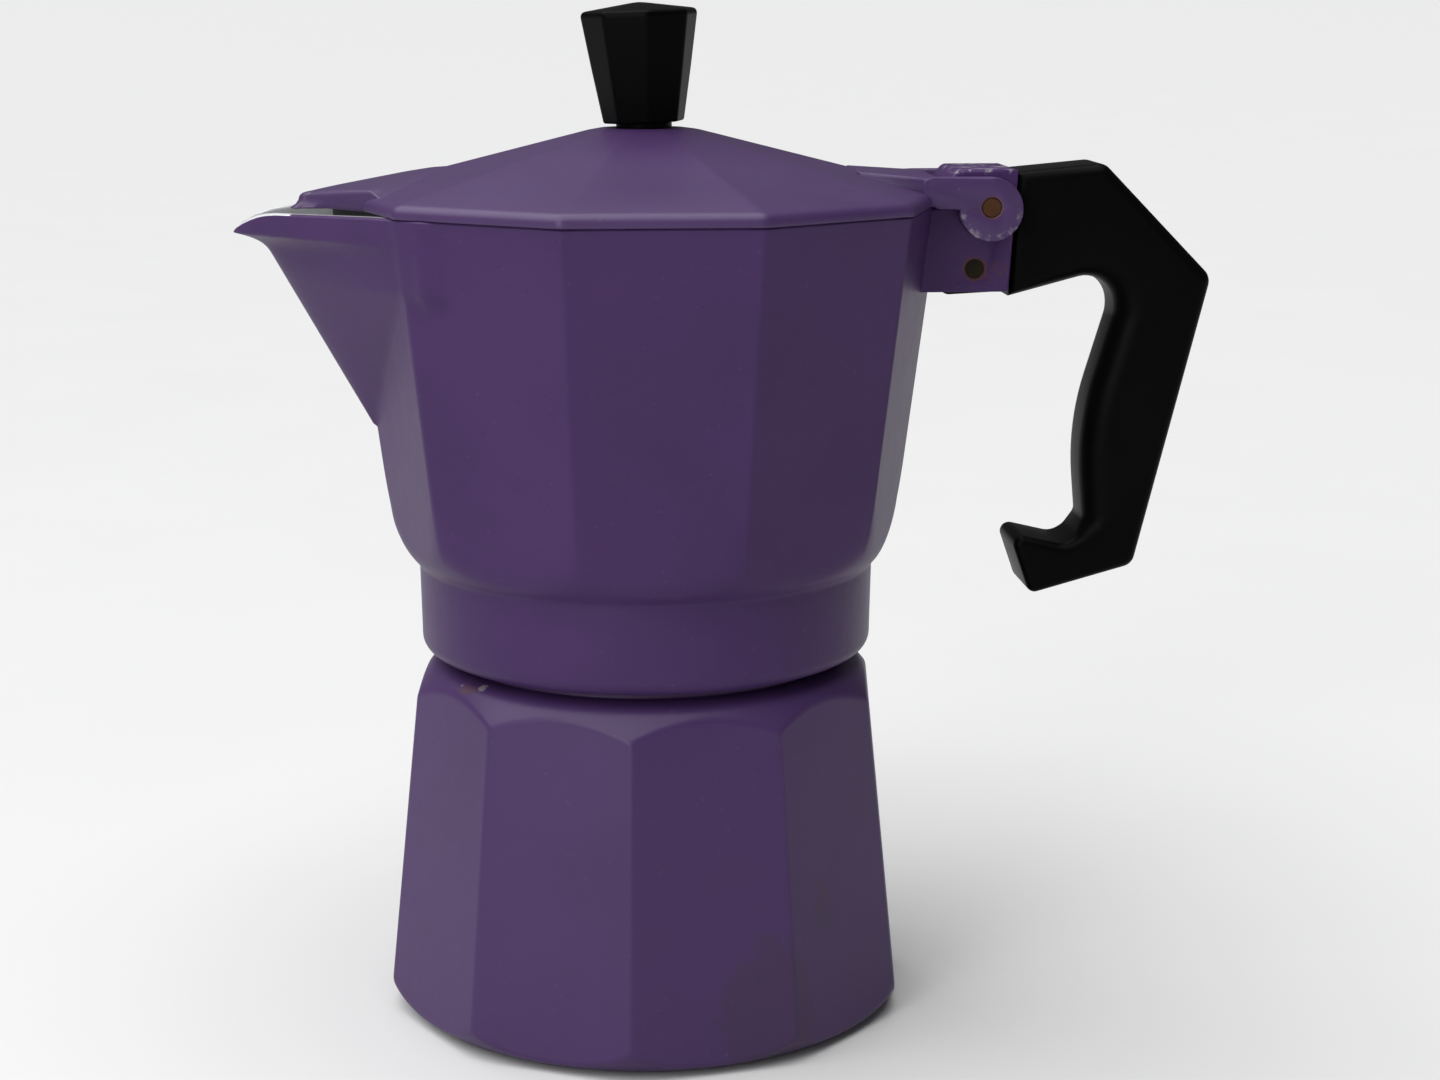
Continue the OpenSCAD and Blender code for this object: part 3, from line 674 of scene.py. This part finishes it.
def spout_r(theta, z, thin=0.0):
    """Outside of the spout, as a distance: two sides from the corners beside it to its rounded keel."""
    phi = np.abs(theta - math.pi)
    start = 95.45 + thin * 1.6
    side = np.clip((z - start) / (119.5 - start), 0, 1)
    corner_r = RIM_R - (RIM_Z - z) * math.tan(LEAN) - thin
    far = math.radians(36)
    root_x = corner_r * (1 - side) + corner_r * math.cos(far) * side
    root_y = np.maximum(corner_r * math.sin(far) * side, 0.01)
    keel = keel_r(z) - thin * 1.25
    blunt = np.minimum(np.interp(z, [121, 126.6], [0.045, 0.026]), 0.25 * root_y / keel)
    tip = keel * (root_y - root_x * blunt) / (root_y - keel * blunt)
    slope = (tip - root_x) / root_y
    r = tip / (np.cos(phi) + slope * np.sqrt(np.sin(phi) ** 2 + blunt ** 2))
    return np.where((z > start + 0.2) & (phi < far + 0.12), r, 0)


def spout_top(x):
    """Height of the spout's rim, which falls away at the tip."""
    return np.interp(x, (-65.2, -64.85, -64.3, -63, -61.7, -60.5, -59.2, -57.5, -42),
                     (126.1, 126.7, 127.45, 128.3, 128.95, 129.45, 129.8, 130.02, RIM_Z))


def collector_r(theta, z):
    flats = sided_r(RIM_R - (RIM_Z - z) * math.tan(LEAN), theta, 0, 1.5)
    body = soft_min(flats, undercut_r(z), 0.9)
    return soft_max(body, spout_r(theta, z), 0.7)


def chamber_r(theta, z):
    corner = RIM_R - (RIM_Z - z) * math.tan(LEAN) - WALL
    body = sided_r(corner, theta, 0, 2.5)
    return soft_max(body, spout_r(theta, z, 2.1), 0.8)


def collector_angles():
    base = np.degrees(facet_angles())
    near = np.concatenate([np.arange(-6, 6.01, 0.3), np.arange(6.6, 38, 0.7), -np.arange(6.6, 38, 0.7)]) + 180
    far = base[np.abs(((base % 360) - 180)) > 38.3]
    return np.radians(np.sort(np.concatenate([far % 360, near])))


def rim_height(theta):
    """Height of the outer rim at each column, which is lower at the spout's tip."""
    low, high = np.full(theta.shape, 120.0), np.full(theta.shape, RIM_Z)
    for _ in range(40):
        mid = (low + high) / 2
        over = mid > spout_top(collector_r(theta, mid) * np.cos(theta))
        high = np.where(over, mid, high)
        low = np.where(over, low, mid)
    return (low + high) / 2


def collector_rows(theta):
    """(r, z) rows from the coffee column's foot underneath, round the outside and over the rim, to the
    floor inside."""
    one = np.ones(theta.shape)
    under = soft_rows([(8.0, RECESS_Z), (RECESS_R, RECESS_Z, 0.3), (RECESS_R, SEAT_Z, 0.25),
                       (RING_BORE_R, SEAT_Z, 0.3), (RING_BORE_R, RING_Z + 0.5, 0.3), (33.2, RING_Z, 0.25),
                       (33.9, RING_Z)], 4)
    rows = []

    def add(r, z):
        rows.append(np.stack([r * one, z * one], -1))

    for row in under:
        add(row[:, 0], row[:, 1])
    for a in np.linspace(-85, 0, 9):
        add(RING_R - 2.4 + 2.4 * math.cos(math.radians(a)), RING_Z + 2.4 + 2.4 * math.sin(math.radians(a)))
    for z in (64.5, 68, 71.5, 72.6, 73.0):
        add(RING_R + 0.02 * (z - 62), z)
    top = rim_height(theta)
    for z in np.concatenate([np.arange(73.25, 84, 0.35), np.arange(84.3, 94, 0.9)]):
        r = collector_r(theta, z * one)
        ring = RING_R + 0.22
        add(soft_max(r, ring, 0.35) if z < 75 else r, z)
    share = np.concatenate([np.linspace(0, 0.78, 46), np.linspace(0.79, 0.985, 26), [0.992]])
    for s in share:
        z = 94.2 + (top - 94.2) * s
        add(collector_r(theta, z), z)
    outer_r = collector_r(theta, top - 0.35)
    edge = 0.45
    for a in np.radians([20, 45, 70, 90]):
        add(outer_r - edge + edge * math.cos(a), top - edge + edge * math.sin(a))
    inner_top = chamber_r(theta, top)
    width = np.maximum(outer_r - edge - inner_top, 0.3)
    for s in (0.35, 0.7):
        r = outer_r - edge - width * s
        add(r, np.maximum(top, np.minimum(spout_top(r * np.cos(theta)), RIM_Z)))
    rim_in = outer_r - edge - width
    z_in = np.minimum(spout_top(rim_in * np.cos(theta)), RIM_Z)
    for a in (0, 40, 80):
        a = math.radians(a)
        add(rim_in - edge * math.sin(a) * 0.6, z_in - edge * (1 - math.cos(a)))
    floor_turn = FLOOR_Z + 5
    for s in np.concatenate([np.linspace(0.01, 0.2, 16), np.linspace(0.22, 1, 40)]):
        z = (z_in - 0.5) + (floor_turn - (z_in - 0.5)) * s
        add(np.minimum(chamber_r(theta, z), rim_in - 0.25), z)
    wall = rows[-1][:, 0]
    for a in np.radians([15, 30, 45, 60, 75, 90]):
        add(wall - 5 * (1 - math.cos(a)), floor_turn - 5 * math.sin(a))
    add(11.5, FLOOR_Z)
    return np.array(rows)


BARE_WALL_X, BARE_WALL_Z, BARE_RIM_X = -50, 122, -55


def make_collector():
    theta = collector_angles()
    rz = collector_rows(theta)
    rim_row = next(i for i in range(60, len(rz)) if rz[i, 0, 0] < rz[i - 1, 0, 0] - 0.4)
    shell = grid_mesh("jug_shell", around(theta, rz), [(0, 1), (7, 0), (rim_row, 1)], 60)
    for p in shell.polygons:
        x, y, z = (v / MM for v in p.center)
        inward = p.normal.x * x + p.normal.y * y < 0
        if x < BARE_WALL_X and z > BARE_WALL_Z and (inward or p.normal.z > 0.6 and x < BARE_RIM_X):
            p.material_index = 2
    place("jug_shell", shell, "collector", [PAINT["collector"], CAST, LIP], ["collector"])
    thread = ridge("jug_thread", RING_BORE_R + 0.1, RING_BORE_R - 0.42, THREAD_LOW + THREAD_LEAD / 2, 1.7)
    place("jug_thread", thread, "collector", [CAST])
    column = lathe("coffee_column", [
        (6.2, FLOOR_Z + 2.8), (8.3, RECESS_Z + 0.2, 0.6), (8.6, RECESS_Z - 0.02, 0.2), (9.5, RECESS_Z - 0.02),
        (9.5, FLOOR_Z - 0.6), (14.2, FLOOR_Z - 0.1), (12, FLOOR_Z + 0.35, 0.8), (9.6, FLOOR_Z + 1.6, 1),
        (8.4, FLOOR_Z + 5, 1.5), (6.1, COLUMN_Z - 4), (6.1, COLUMN_Z - 1.6, 1.2), (4.6, COLUMN_Z, 1.2),
        (0, COLUMN_Z)], 64, steps=6)
    column = boolean(column, rod(1.9, 15, (0, 0, COLUMN_Z - 7.5)))
    place("coffee_column", smooth(column, 40), "collector", [CAST])


def make_bracket():
    top_x = HINGE_X - math.sqrt(SWEEP_R ** 2 - (BRACKET_TOP_Z - HINGE_Z) ** 2)
    start = math.degrees(math.atan2(BRACKET_TOP_Z - HINGE_Z, top_x - HINGE_X))
    sweep = arc_points(HINGE_X, HINGE_Z, SWEEP_R, start, 182, 10)
    side = [(38, BRACKET_LOW_Z), (57.4, BRACKET_LOW_Z), (BRACKET_BACK_X, BRACKET_TOP_Z)]
    side += sweep + [(38, 130.3)]
    body = extrude(side, -BRACKET_W / 2, BRACKET_W / 2)
    pocket = [(46.6, 110), (70, 110), (70, 133.3), (49.2, 133.3), (49.2, 129), (46.6, 126)]
    body = boolean(body, extrude(pocket, -5.6, 5.6))
    for x, z in ((HINGE_X, HINGE_Z), (LOW_PIN_X, LOW_PIN_Z)):
        body = boolean(body, rod(PIN_R + 0.02, 40, (x, 0, z)))
    body = bevelled(body, 0.42)
    inside = []
    for z in (110, 132):
        reach = RIM_R - (RIM_Z - z) * math.tan(LEAN) - WALL + 0.4
        for k in range(10):
            corner = math.radians(36 * k)
            inside.append((reach * math.cos(corner), reach * math.sin(corner), z))
    body = smooth(boolean(body, hull(inside)), 40)
    place("bracket", body, "collector", [PAINT["bracket"]])


# ---- lid ----

def lid_height(x, y):
    """Height of the lid's sloping flats over a point."""
    theta = np.arctan2(y, x)
    r = np.hypot(x, y)
    step = math.pi / 5
    phi = np.abs((theta + step / 2) % step - step / 2)
    apothem = r * np.cos(step / 2 - phi) / math.cos(step / 2)
    return LID_TOP_Z - (apothem - LID_TOP_R) * (LID_TOP_Z - LID_Z - LID_BAND) / (LID_R - LID_TOP_R)


def make_lid():
    theta = facet_angles()
    top = sided_r(LID_TOP_R, theta, 0, 1.6)
    rim = sided_r(LID_R, theta, 0, 2.6)
    inner = sided_r(LID_R - 2.3, theta, 0, 1.5)
    lip = sided_r(44.1, theta, 0, 1.5)
    inner_top = sided_r(LID_TOP_R, theta, 0, 1.2)
    corners = [(0, LID_TOP_Z + 0.05), (5, LID_TOP_Z + 0.03), (top, LID_TOP_Z, 1.6)]
    for share in (0.25, 0.5, 0.75):
        corners.append((top + (rim - top) * share, LID_TOP_Z + (LID_Z + LID_BAND - LID_TOP_Z) * share))
    corners += [(rim, LID_Z + LID_BAND, 1.7), (rim - 0.1, LID_Z, 0.25), (lip, LID_Z, 0.2),
                (lip, LID_Z - 1.6, 0.3), (lip - 1.2, LID_Z - 1.6, 0.3), (lip - 1.2, LID_Z + 0.9, 0.4),
                (inner, LID_Z + 0.9, 0.3), (inner_top, LID_TOP_Z - 2.0, 1.0), (0, LID_TOP_Z - 2.0)]
    rz = soft_rows(corners, 6)
    shell = grid_mesh("lid_shell", around(theta, rz), sharp=55)
    hollow = hull([(-52.2, 0.6, 125), (-52.2, -0.6, 125), (-51.8, 0.6, 130.9), (-51.8, -0.6, 130.9),
                   (-42.4, 12.0, 125), (-42.4, -12.0, 125), (-41.8, 12.0, 132.6), (-41.8, -12.0, 132.6),
                   (-35, 0, 133.6), (-34, 8, 125), (-34, -8, 125)])
    shell = boolean(shell, hollow)
    slot = extrude([(SLOT_X, 120), (70, 120), (70, 140), (SLOT_X, 140)], -EYE_IN, EYE_IN)
    shell = boolean(shell, slot)
    shell = boolean(shell, rod(2.3, 10, (0, 0, LID_TOP_Z), "z"))
    paint_above(shell, lambda c: 1 if inside_lid(c) else 0)
    place("lid_shell", smooth(shell, 55), "lid", [PAINT["lid"], CAST], ["lid"])


def inside_lid(c):
    """True for a point on the lid's underside, in millimetres."""
    x, y, z = c
    below = z < min(float(lid_height(x, y)), LID_Z + LID_BAND) - 0.75
    return below and math.hypot(x, y) < 45.2


def paint_above(mesh, pick):
    """Gives each face the material index that pick names for its centre."""
    while len(mesh.materials) < 2:
        mesh.materials.append(None)
    for p in mesh.polygons:
        p.material_index = pick(tuple(v / MM for v in p.center))


COVER_PEAK, COVER_SIDE, COVER_NOSE = (-33.0, 0.0), (-42.4, 14.3), (-53.0, 1.9)
COVER_CENTRE = (-44.5, 0.0)


def cover_plane(x):
    return 136.6 + 0.19 * (x - COVER_PEAK[0])


def cover_outline():
    """Outline in plan, from the nose round to the peak and back: (x, y, share of a free outer wall)."""
    nose, side = COVER_NOSE, COVER_SIDE
    out_side = (side[0] + 1.5, side[1] + 2.1)
    peak = (COVER_PEAK[0] + 4.0, 0.0)
    half = []
    for s in np.linspace(0, 1, 26):
        half.append((nose[0] + (side[0] - nose[0]) * s, nose[1] + (side[1] - nose[1]) * s, 1.0))
    for s in np.linspace(0.25, 1, 4):
        half.append((side[0] + (out_side[0] - side[0]) * s, side[1] + (out_side[1] - side[1]) * s, 1 - s))
    for s in np.linspace(0.05, 1, 20):
        half.append((out_side[0] + (peak[0] - out_side[0]) * s, out_side[1] * (1 - s), 0.0))
    nose_arc = [(nose[0] - nose[1] * 0.75 * math.cos(a), nose[1] * math.sin(a), 1.0)
                for a in np.linspace(0.0, 1.35, 6)]
    half = nose_arc + half
    return half + [(x, -y, w) for x, y, w in half[-2:0:-1]]


def make_cover():
    outline = np.array(cover_outline())
    x0, y0 = outline[:, 0], outline[:, 1]
    free = outline[:, 2]
    edge_dir = np.array([COVER_SIDE[0] - COVER_PEAK[0], COVER_SIDE[1]])
    edge_dir = edge_dir / np.linalg.norm(edge_dir)
    normal = np.array([edge_dir[1], -edge_dir[0]])
    round_r = 1.15

    def top(x, y):
        out = (x - COVER_PEAK[0]) * normal[0] + np.abs(y) * normal[1]
        crown = cover_plane(x) - 0.0045 * y ** 2
        raised = soft_min(crown, crown + 0.25 - 0.75 * out, 1.0)
        return soft_max(raised, lid_height(x, y), 0.9)

    rows = []
    length = np.hypot(x0 - COVER_CENTRE[0], y0)
    ux, uy = (x0 - COVER_CENTRE[0]) / length, y0 / length

    def add(reach, z):
        rows.append(np.stack([COVER_CENTRE[0] + ux * reach, uy * reach, z], -1))

    for s in np.concatenate([[0.001], np.linspace(0.06, 0.9, 24), [0.94, 0.97, 1.0]]):
        reach = (length - round_r) * s
        x, y = COVER_CENTRE[0] + ux * reach, uy * reach
        sink = 0.14 * (1 - free) * np.clip((s - 0.9) / 0.1, 0, 1)
        add(reach, top(x, y) - sink)
    z_edge = rows[-1][:, 2]
    for a in np.radians([22, 45, 67, 90]):
        reach = length - round_r + round_r * math.sin(a)
        add(reach, z_edge - round_r * (1 - math.cos(a)))
    nose = np.clip((-49.5 - x0) / 4, 0, 1)
    low = np.where(free > 0.5, LID_Z - 0.02 - 0.38 * nose, np.minimum(z_edge - 1.3, LID_Z + 1.2))
    for drop, grow in ((0.5, 0.35), (0.88, 1.0)):
        reach = length + grow * (0.3 + nose) * free
        add(reach, (z_edge - round_r) + (low - z_edge + round_r) * drop)
    for grow, lift in ((0.2 + nose * free, 0.0), (-0.9, 0.0), (-1.25, 0.4)):
        add(length + grow, low + lift)
    under = np.minimum(z_edge - 1.4, 133.2)
    for s in (0.97, 0.6, 0.3, 0.001):
        add((length - 1.4) * s, under * s + 132.4 * (1 - s))
    points = np.array(rows)
    points[0] = points[0].mean(0)
    points[-1] = points[-1].mean(0)
    mesh = grid_mesh("spout_cover", points, [(0, 0), (len(rows) - 5, 1)], 62)
    place("spout_cover", mesh, "lid", [PAINT["cover"], CAST])


def make_hinge():
    eye_z = HINGE_Z - 0.3
    low_z = LID_Z - 0.3
    eye = arc_points(HINGE_X, eye_z, EYE_R, 90, -180, 40)
    shoulder = arc_points(ARM_X + 1.5, TONGUE_Z - 1.5, 1.5, 180, 90, 6)
    side = [(ARM_X, LID_Z + 0.2)] + shoulder + eye + [(HINGE_X - 5.45, eye_z), (48.0, low_z), (45.5, low_z),
                                                     (44.7, LID_Z + 0.02)]
    arms = extrude(side, -EYE_OUT, EYE_OUT)
    arms = boolean(arms, extrude([(ARM_X - 5, 120), (70, 120), (70, 140), (ARM_X - 5, 140)], -EYE_IN, EYE_IN))
    arms = boolean(arms, rod(PIN_R + 0.12, 40, (HINGE_X, 0, HINGE_Z)))
    place("hinge_arms", bevelled(arms, 0.5), "lid", [PAINT["hinge"]])
    wedge = extrude([(33, 131.8), (SLOT_X, 131.8), (SLOT_X, TONGUE_Z - 0.05), (ARM_X, TONGUE_Z), (33, 136.1)],
                    -EYE_OUT, EYE_OUT)
    half = EYE_OUT - 0.15
    plan = [(30, -7.4), (ARM_X + 0.6, -half), (SLOT_X + 1, -half), (SLOT_X + 1, half), (ARM_X + 0.6, half),
            (30, 7.4)]
    wedge = boolean(wedge, extrude(plan, 120, 140, "z"), "INTERSECT")
    place("lid_tongue", bevelled(wedge, 0.6), "lid", [PAINT["hinge"]])
    ring = lathe("pin_end", [(0, -0.15), (1.05, -0.15, 0.3), (PIN_R - 0.05, -0.5), (PIN_R - 0.05, -1.5),
                             (0, -1.5)], 40)
    for sign, name in ((-1, "pin_end_near"), (1, "pin_end_far")):
        mesh = ring.copy()
        mesh.transform(Matrix.Translation((HINGE_X * MM, sign * (EYE_OUT - 0.3) * MM, HINGE_Z * MM))
                       @ Matrix.Rotation(-sign * math.pi / 2, 4, "X"))
        place(name, mesh, "collector", [PIN_BRASS])


# ---- handle and knob ----

HANDLE = [(58.75, 135.8, 0), (72.9, 137.1, 2.4), (90.8, 118.9, 2.6), (79.5, 71.8, 2.4), (62.4, 67.2, 1.5),
          (58.8, 77.5, 1.5), (69.2, 75.1, 3.2), (71.4, 79.4, 2.0), (70.0, 94.0, 45), (75.6, 113, 6),
          (75.5, 120.2, 4.8), (57.8, 116.1, 0)]
HANDLE_TOE, HANDLE_BACK = (60.5, 72.3), 79.5


def inset_outline(points, amount):
    """A closed outline moved inward, corner by corner."""
    p = np.array(points)
    before, after = np.roll(p, 1, 0), np.roll(p, -1, 0)
    a = (p - before) / np.linalg.norm(p - before, axis=1, keepdims=True)
    b = (after - p) / np.linalg.norm(after - p, axis=1, keepdims=True)
    na, nb = np.stack([a[:, 1], -a[:, 0]], -1), np.stack([b[:, 1], -b[:, 0]], -1)
    n = na + nb
    n = n / np.maximum((n * n).sum(1, keepdims=True), 1e-9) * 2
    area = 0.5 * np.sum(p[:, 0] * after[:, 1] - after[:, 0] * p[:, 1])
    return p + n * amount * (-1 if area > 0 else 1)


def make_handle():
    outline = np.array(rounded_outline(HANDLE, 10))
    from_toe = np.hypot(outline[:, 0] - HANDLE_TOE[0], outline[:, 1] - HANDLE_TOE[1])
    x, z = outline[:, 0], outline[:, 1]
    finger_side = np.clip((HANDLE_BACK - 3 + 0.24 * (z - 71.8) - x) / 2, 0, 1) * np.clip((x - 62) / 6, 0, 1) \
        * np.clip((z - 76) / 4, 0, 1) * np.clip((122 - z) / 2, 0, 1)
    half = HANDLE_W / 2
    soft = HANDLE_EDGE - (HANDLE_EDGE - HANDLE_TOE_EDGE) * np.exp(-(from_toe / 8) ** 2) \
        + (HANDLE_FINGER_EDGE - HANDLE_EDGE) * finger_side
    rows = []
    for a in np.radians(np.linspace(0, 90, 9)):
        ring = inset_outline(outline, soft[:, None] * (1 - math.cos(a)))
        rows.append((ring, half - soft + soft * math.sin(a)))
    near = [np.stack([ring[:, 0], -y, ring[:, 1]], -1) for ring, y in rows[::-1]]
    far = [np.stack([ring[:, 0], y, ring[:, 1]], -1) for ring, y in rows]
    points = np.array(near + far)
    mesh = grid_mesh("grip", points, sharp=60)
    bm = bmesh.new()
    bm.from_mesh(mesh)
    count = len(outline)
    bm.verts.ensure_lookup_table()
    bm.faces.new([bm.verts[i] for i in range(count)])
    bm.faces.new([bm.verts[len(bm.verts) - count + i] for i in range(count)])
    bmesh.ops.recalc_face_normals(bm, faces=bm.faces)
    bm.to_mesh(mesh)
    bm.free()
    place("grip", smooth(mesh, 60), "collector", [BLACK], ["handle"])
    tongue = extrude([(47.0, 116.9), (47.9, 116.35), (60.5, 117.0), (62, 128), (62, 133), (49.6, 133),
                      (49.6, 128.9), (47.0, 125.8)], -5.5, 5.5)
    for x, z in ((HINGE_X, HINGE_Z), (LOW_PIN_X, LOW_PIN_Z)):
        tongue = boolean(tongue, rod(PIN_R + 0.02, 40, (x, 0, z)))
    place("grip_tongue", bevelled(tongue, 0.35), "collector", [BLACK])


def make_knob():
    theta = facet_angles(0, 8)
    low, high = (sided_r(r, theta, 0, 1.3, 8) for r in (KNOB_LOW_R, KNOB_HIGH_R))
    mid = (low + high) / 2
    apex = sided_r(0.9, theta, 0, 0.5, 8)
    corners = [(3.2, 0), (KNOB_NECK_R, 0, 0.1), (KNOB_NECK_R, KNOB_NECK_Z, 0.2),
               (low - 0.1, KNOB_NECK_Z, 0.4), (mid, (KNOB_NECK_Z + KNOB_SIDE_Z) / 2 - 0.05),
               (high, KNOB_SIDE_Z, 1.0), (apex, KNOB_SIDE_Z + 1.2, 0.4), (0, KNOB_SIDE_Z + 1.25)]
    rz = soft_rows(corners, 6)
    mesh = grid_mesh("knob_body", around(theta, rz), sharp=62)
    lean = Matrix.Translation((0, 0, LID_TOP_Z * MM)) @ Matrix.Rotation(-KNOB_LEAN, 4, "Y") \
        @ Matrix.Rotation(KNOB_TURN, 4, "Z")
    mesh.transform(lean)
    place("knob_body", mesh, "lid", [BLACK], ["knob"])


# ---- perforated sheets ----

def perforated(name, radius, pitch, hole_r, thickness, z):
    """Round sheet with holes on a triangular grid, from a filled curve."""
    curve = bpy.data.curves.new(name, "CURVE")
    curve.dimensions, curve.fill_mode = "2D", "BOTH"
    curve.extrude = thickness / 2 * MM

    def ring(cx, cy, r, count):
        line = curve.splines.new("POLY")
        line.points.add(count - 1)
        for k in range(count):
            a = 2 * math.pi * k / count
            line.points[k].co = ((cx + r * math.cos(a)) * MM, (cy + r * math.sin(a)) * MM, 0, 1)
        line.use_cyclic_u = True
    ring(0, 0, radius, 96)
    reach = int(radius / pitch) + 2
    for i in range(-reach, reach + 1):
        for j in range(-reach, reach + 1):
            x, y = pitch * (i + j / 2), pitch * j * math.sin(math.pi / 3)
            if math.hypot(x, y) < radius - 2.2:
                ring(x, y, hole_r, 12)
    obj = bpy.data.objects.new(name, curve)
    SCENE.collection.objects.link(obj)
    mesh = evaluated(obj)
    bpy.data.objects.remove(obj)
    mesh.transform(Matrix.Translation((0, 0, z * MM)))
    return smooth(mesh, 35)


def make_sheets():
    low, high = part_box("funnel_strainer")
    disc = perforated("strainer_disc", high.x / MM - 0.05, 2.9, 0.62, 0.8, (low.z + high.z) / 2 / MM)
    place("strainer_disc", disc, "funnel", [SHEET], ["funnel_strainer"])
    low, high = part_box("filter_plate")
    base, top = low.z / MM, high.z / MM
    disc = perforated("filter_disc", 25.1, 2.3, 0.5, 0.7, top - 0.35)
    place("filter_disc", disc, "filter_plate", [SHEET], ["filter_plate"])
    rim = lathe("filter_rim", [
        (24.9, top - 0.7), (25.2, base + 0.9, 0.5), (26, base, 0.4), (29.3, base, 0.3),
        (29.45, base + 0.7, 0.3), (26.4, base + 0.7, 0.4), (25.4, top - 0.1, 0.4), (24.9, top),
        (24.9, top - 0.7)], 128)
    place("filter_rim", rim, "filter_plate", [SHEET])


# ---- CAD nodes that keep their shape ----

KEPT = {
    "valve_body": (BRASS, 0.25), "valve_washer": (FIBRE, 0.2), "valve_plunger": (STEEL, 0.15),
    "valve_seal": (SEAL, 0.1), "valve_spring": (STEEL, 0), "valve_cap": (STEEL, 0.1), "funnel": (SHEET, 0.15),
    "gasket": (GASKET, 0.35), "hinge_pin": (PIN_BRASS, 0.1), "handle_pin": (RUST, 0.2),
    "knob_insert": (BRASS, 0), "knob_screw": (STEEL, 0.12), "knob_washer": (STEEL, 0.12)}


def dress_kept_nodes():
    for name, (material, width) in KEPT.items():
        obj = frame["nodes"][name]
        obj.data.materials.clear()
        obj.data.materials.append(material)
        if width:
            mod = obj.modifiers.new("bevel", "BEVEL")
            mod.width, mod.segments, mod.limit_method = width * MM, 2, "ANGLE"
            mod.angle_limit = math.radians(40)


# ---- camera, floor and light ----

CAMERA_TARGET = (12.12, 0.0, 75.81)
CAMERA_AZIMUTH, CAMERA_PITCH, CAMERA_ROLL = math.radians(-4.965), math.radians(11.90), math.radians(0.076)
CAMERA_DISTANCE, CAMERA_LENS = 427.08, 65.24


def make_camera():
    data = bpy.data.cameras.new("camera")
    data.lens, data.sensor_width, data.sensor_fit = CAMERA_LENS, 36, "HORIZONTAL"
    data.clip_start, data.clip_end = 0.01, 500
    cam = bpy.data.objects.new("camera", data)
    SCENE.collection.objects.link(cam)
    level = math.cos(CAMERA_PITCH)
    back = Vector((math.sin(CAMERA_AZIMUTH) * level, -math.cos(CAMERA_AZIMUTH) * level,
                   math.sin(CAMERA_PITCH)))
    cam.matrix_world = Matrix.Translation((Vector(CAMERA_TARGET) + back * CAMERA_DISTANCE) * MM) \
        @ back.to_track_quat("Z", "Y").to_matrix().to_4x4() @ Matrix.Rotation(CAMERA_ROLL, 4, "Z")
    SCENE.camera = cam


def area_light(name, place_at, aim, size, power):
    data = bpy.data.lights.new(name, "AREA")
    data.shape, data.size, data.size_y, data.energy = "RECTANGLE", size[0], size[1], power
    obj = bpy.data.objects.new(name, data)
    SCENE.collection.objects.link(obj)
    obj.location = place_at
    obj.rotation_euler = (Vector(place_at) - Vector(aim)).to_track_quat("Z", "Y").to_euler()


def make_floor():
    m = Nodes("floor")
    m.set(base_color=m.mix(m.noise(60, 3, 0.5, seed=91.0), (0.55, 0.55, 0.55), (0.57, 0.57, 0.57)),
          roughness=0.75)
    m.bsdf.inputs["Specular IOR Level"].default_value = 0.2
    mesh = bpy.data.meshes.new("floor")
    size = 150.0
    corners = [(-size, -size, 0), (size, -size, 0), (size, size, 0), (-size, size, 0)]
    mesh.from_pydata(corners, [], [(0, 1, 2, 3)])
    mesh.materials.append(m.mat)
    obj = bpy.data.objects.new("floor", mesh)
    obj.location.z = -0.0002
    SCENE.collection.objects.link(obj)


def make_light():
    world = bpy.data.worlds.new("studio")
    world.use_nodes = True
    back = world.node_tree.nodes["Background"]
    back.inputs["Color"].default_value = (0.96, 0.97, 1.0, 1)
    SCENE.world = world
    back.inputs["Strength"].default_value = 0.13
    sun = bpy.data.lights.new("overhead", "SUN")
    sun.energy, sun.angle = 4.7, math.radians(85)
    obj = bpy.data.objects.new("overhead", sun)
    SCENE.collection.objects.link(obj)
    obj.rotation_euler = Vector((-0.30, -0.05, 1.0)).to_track_quat("Z", "Y").to_euler()
    area_light("key_left", (-0.55, -0.75, 0.42), (0, 0, 0.07), (0.40, 0.40), 2.7)
    area_light("low_fill", (-0.35, -0.85, 0.20), (0, 0, 0.05), (0.5, 0.3), 0.9)
    for o in SCENE.objects:
        if o.type == "LIGHT":
            o.visible_camera = False
    SCENE.view_settings.view_transform = "Standard"


make_camera()
make_floor()
make_light()
make_boiler()
make_collector()
make_bracket()
make_lid()
make_cover()
make_hinge()
make_handle()
make_knob()
make_sheets()
dress_kept_nodes()
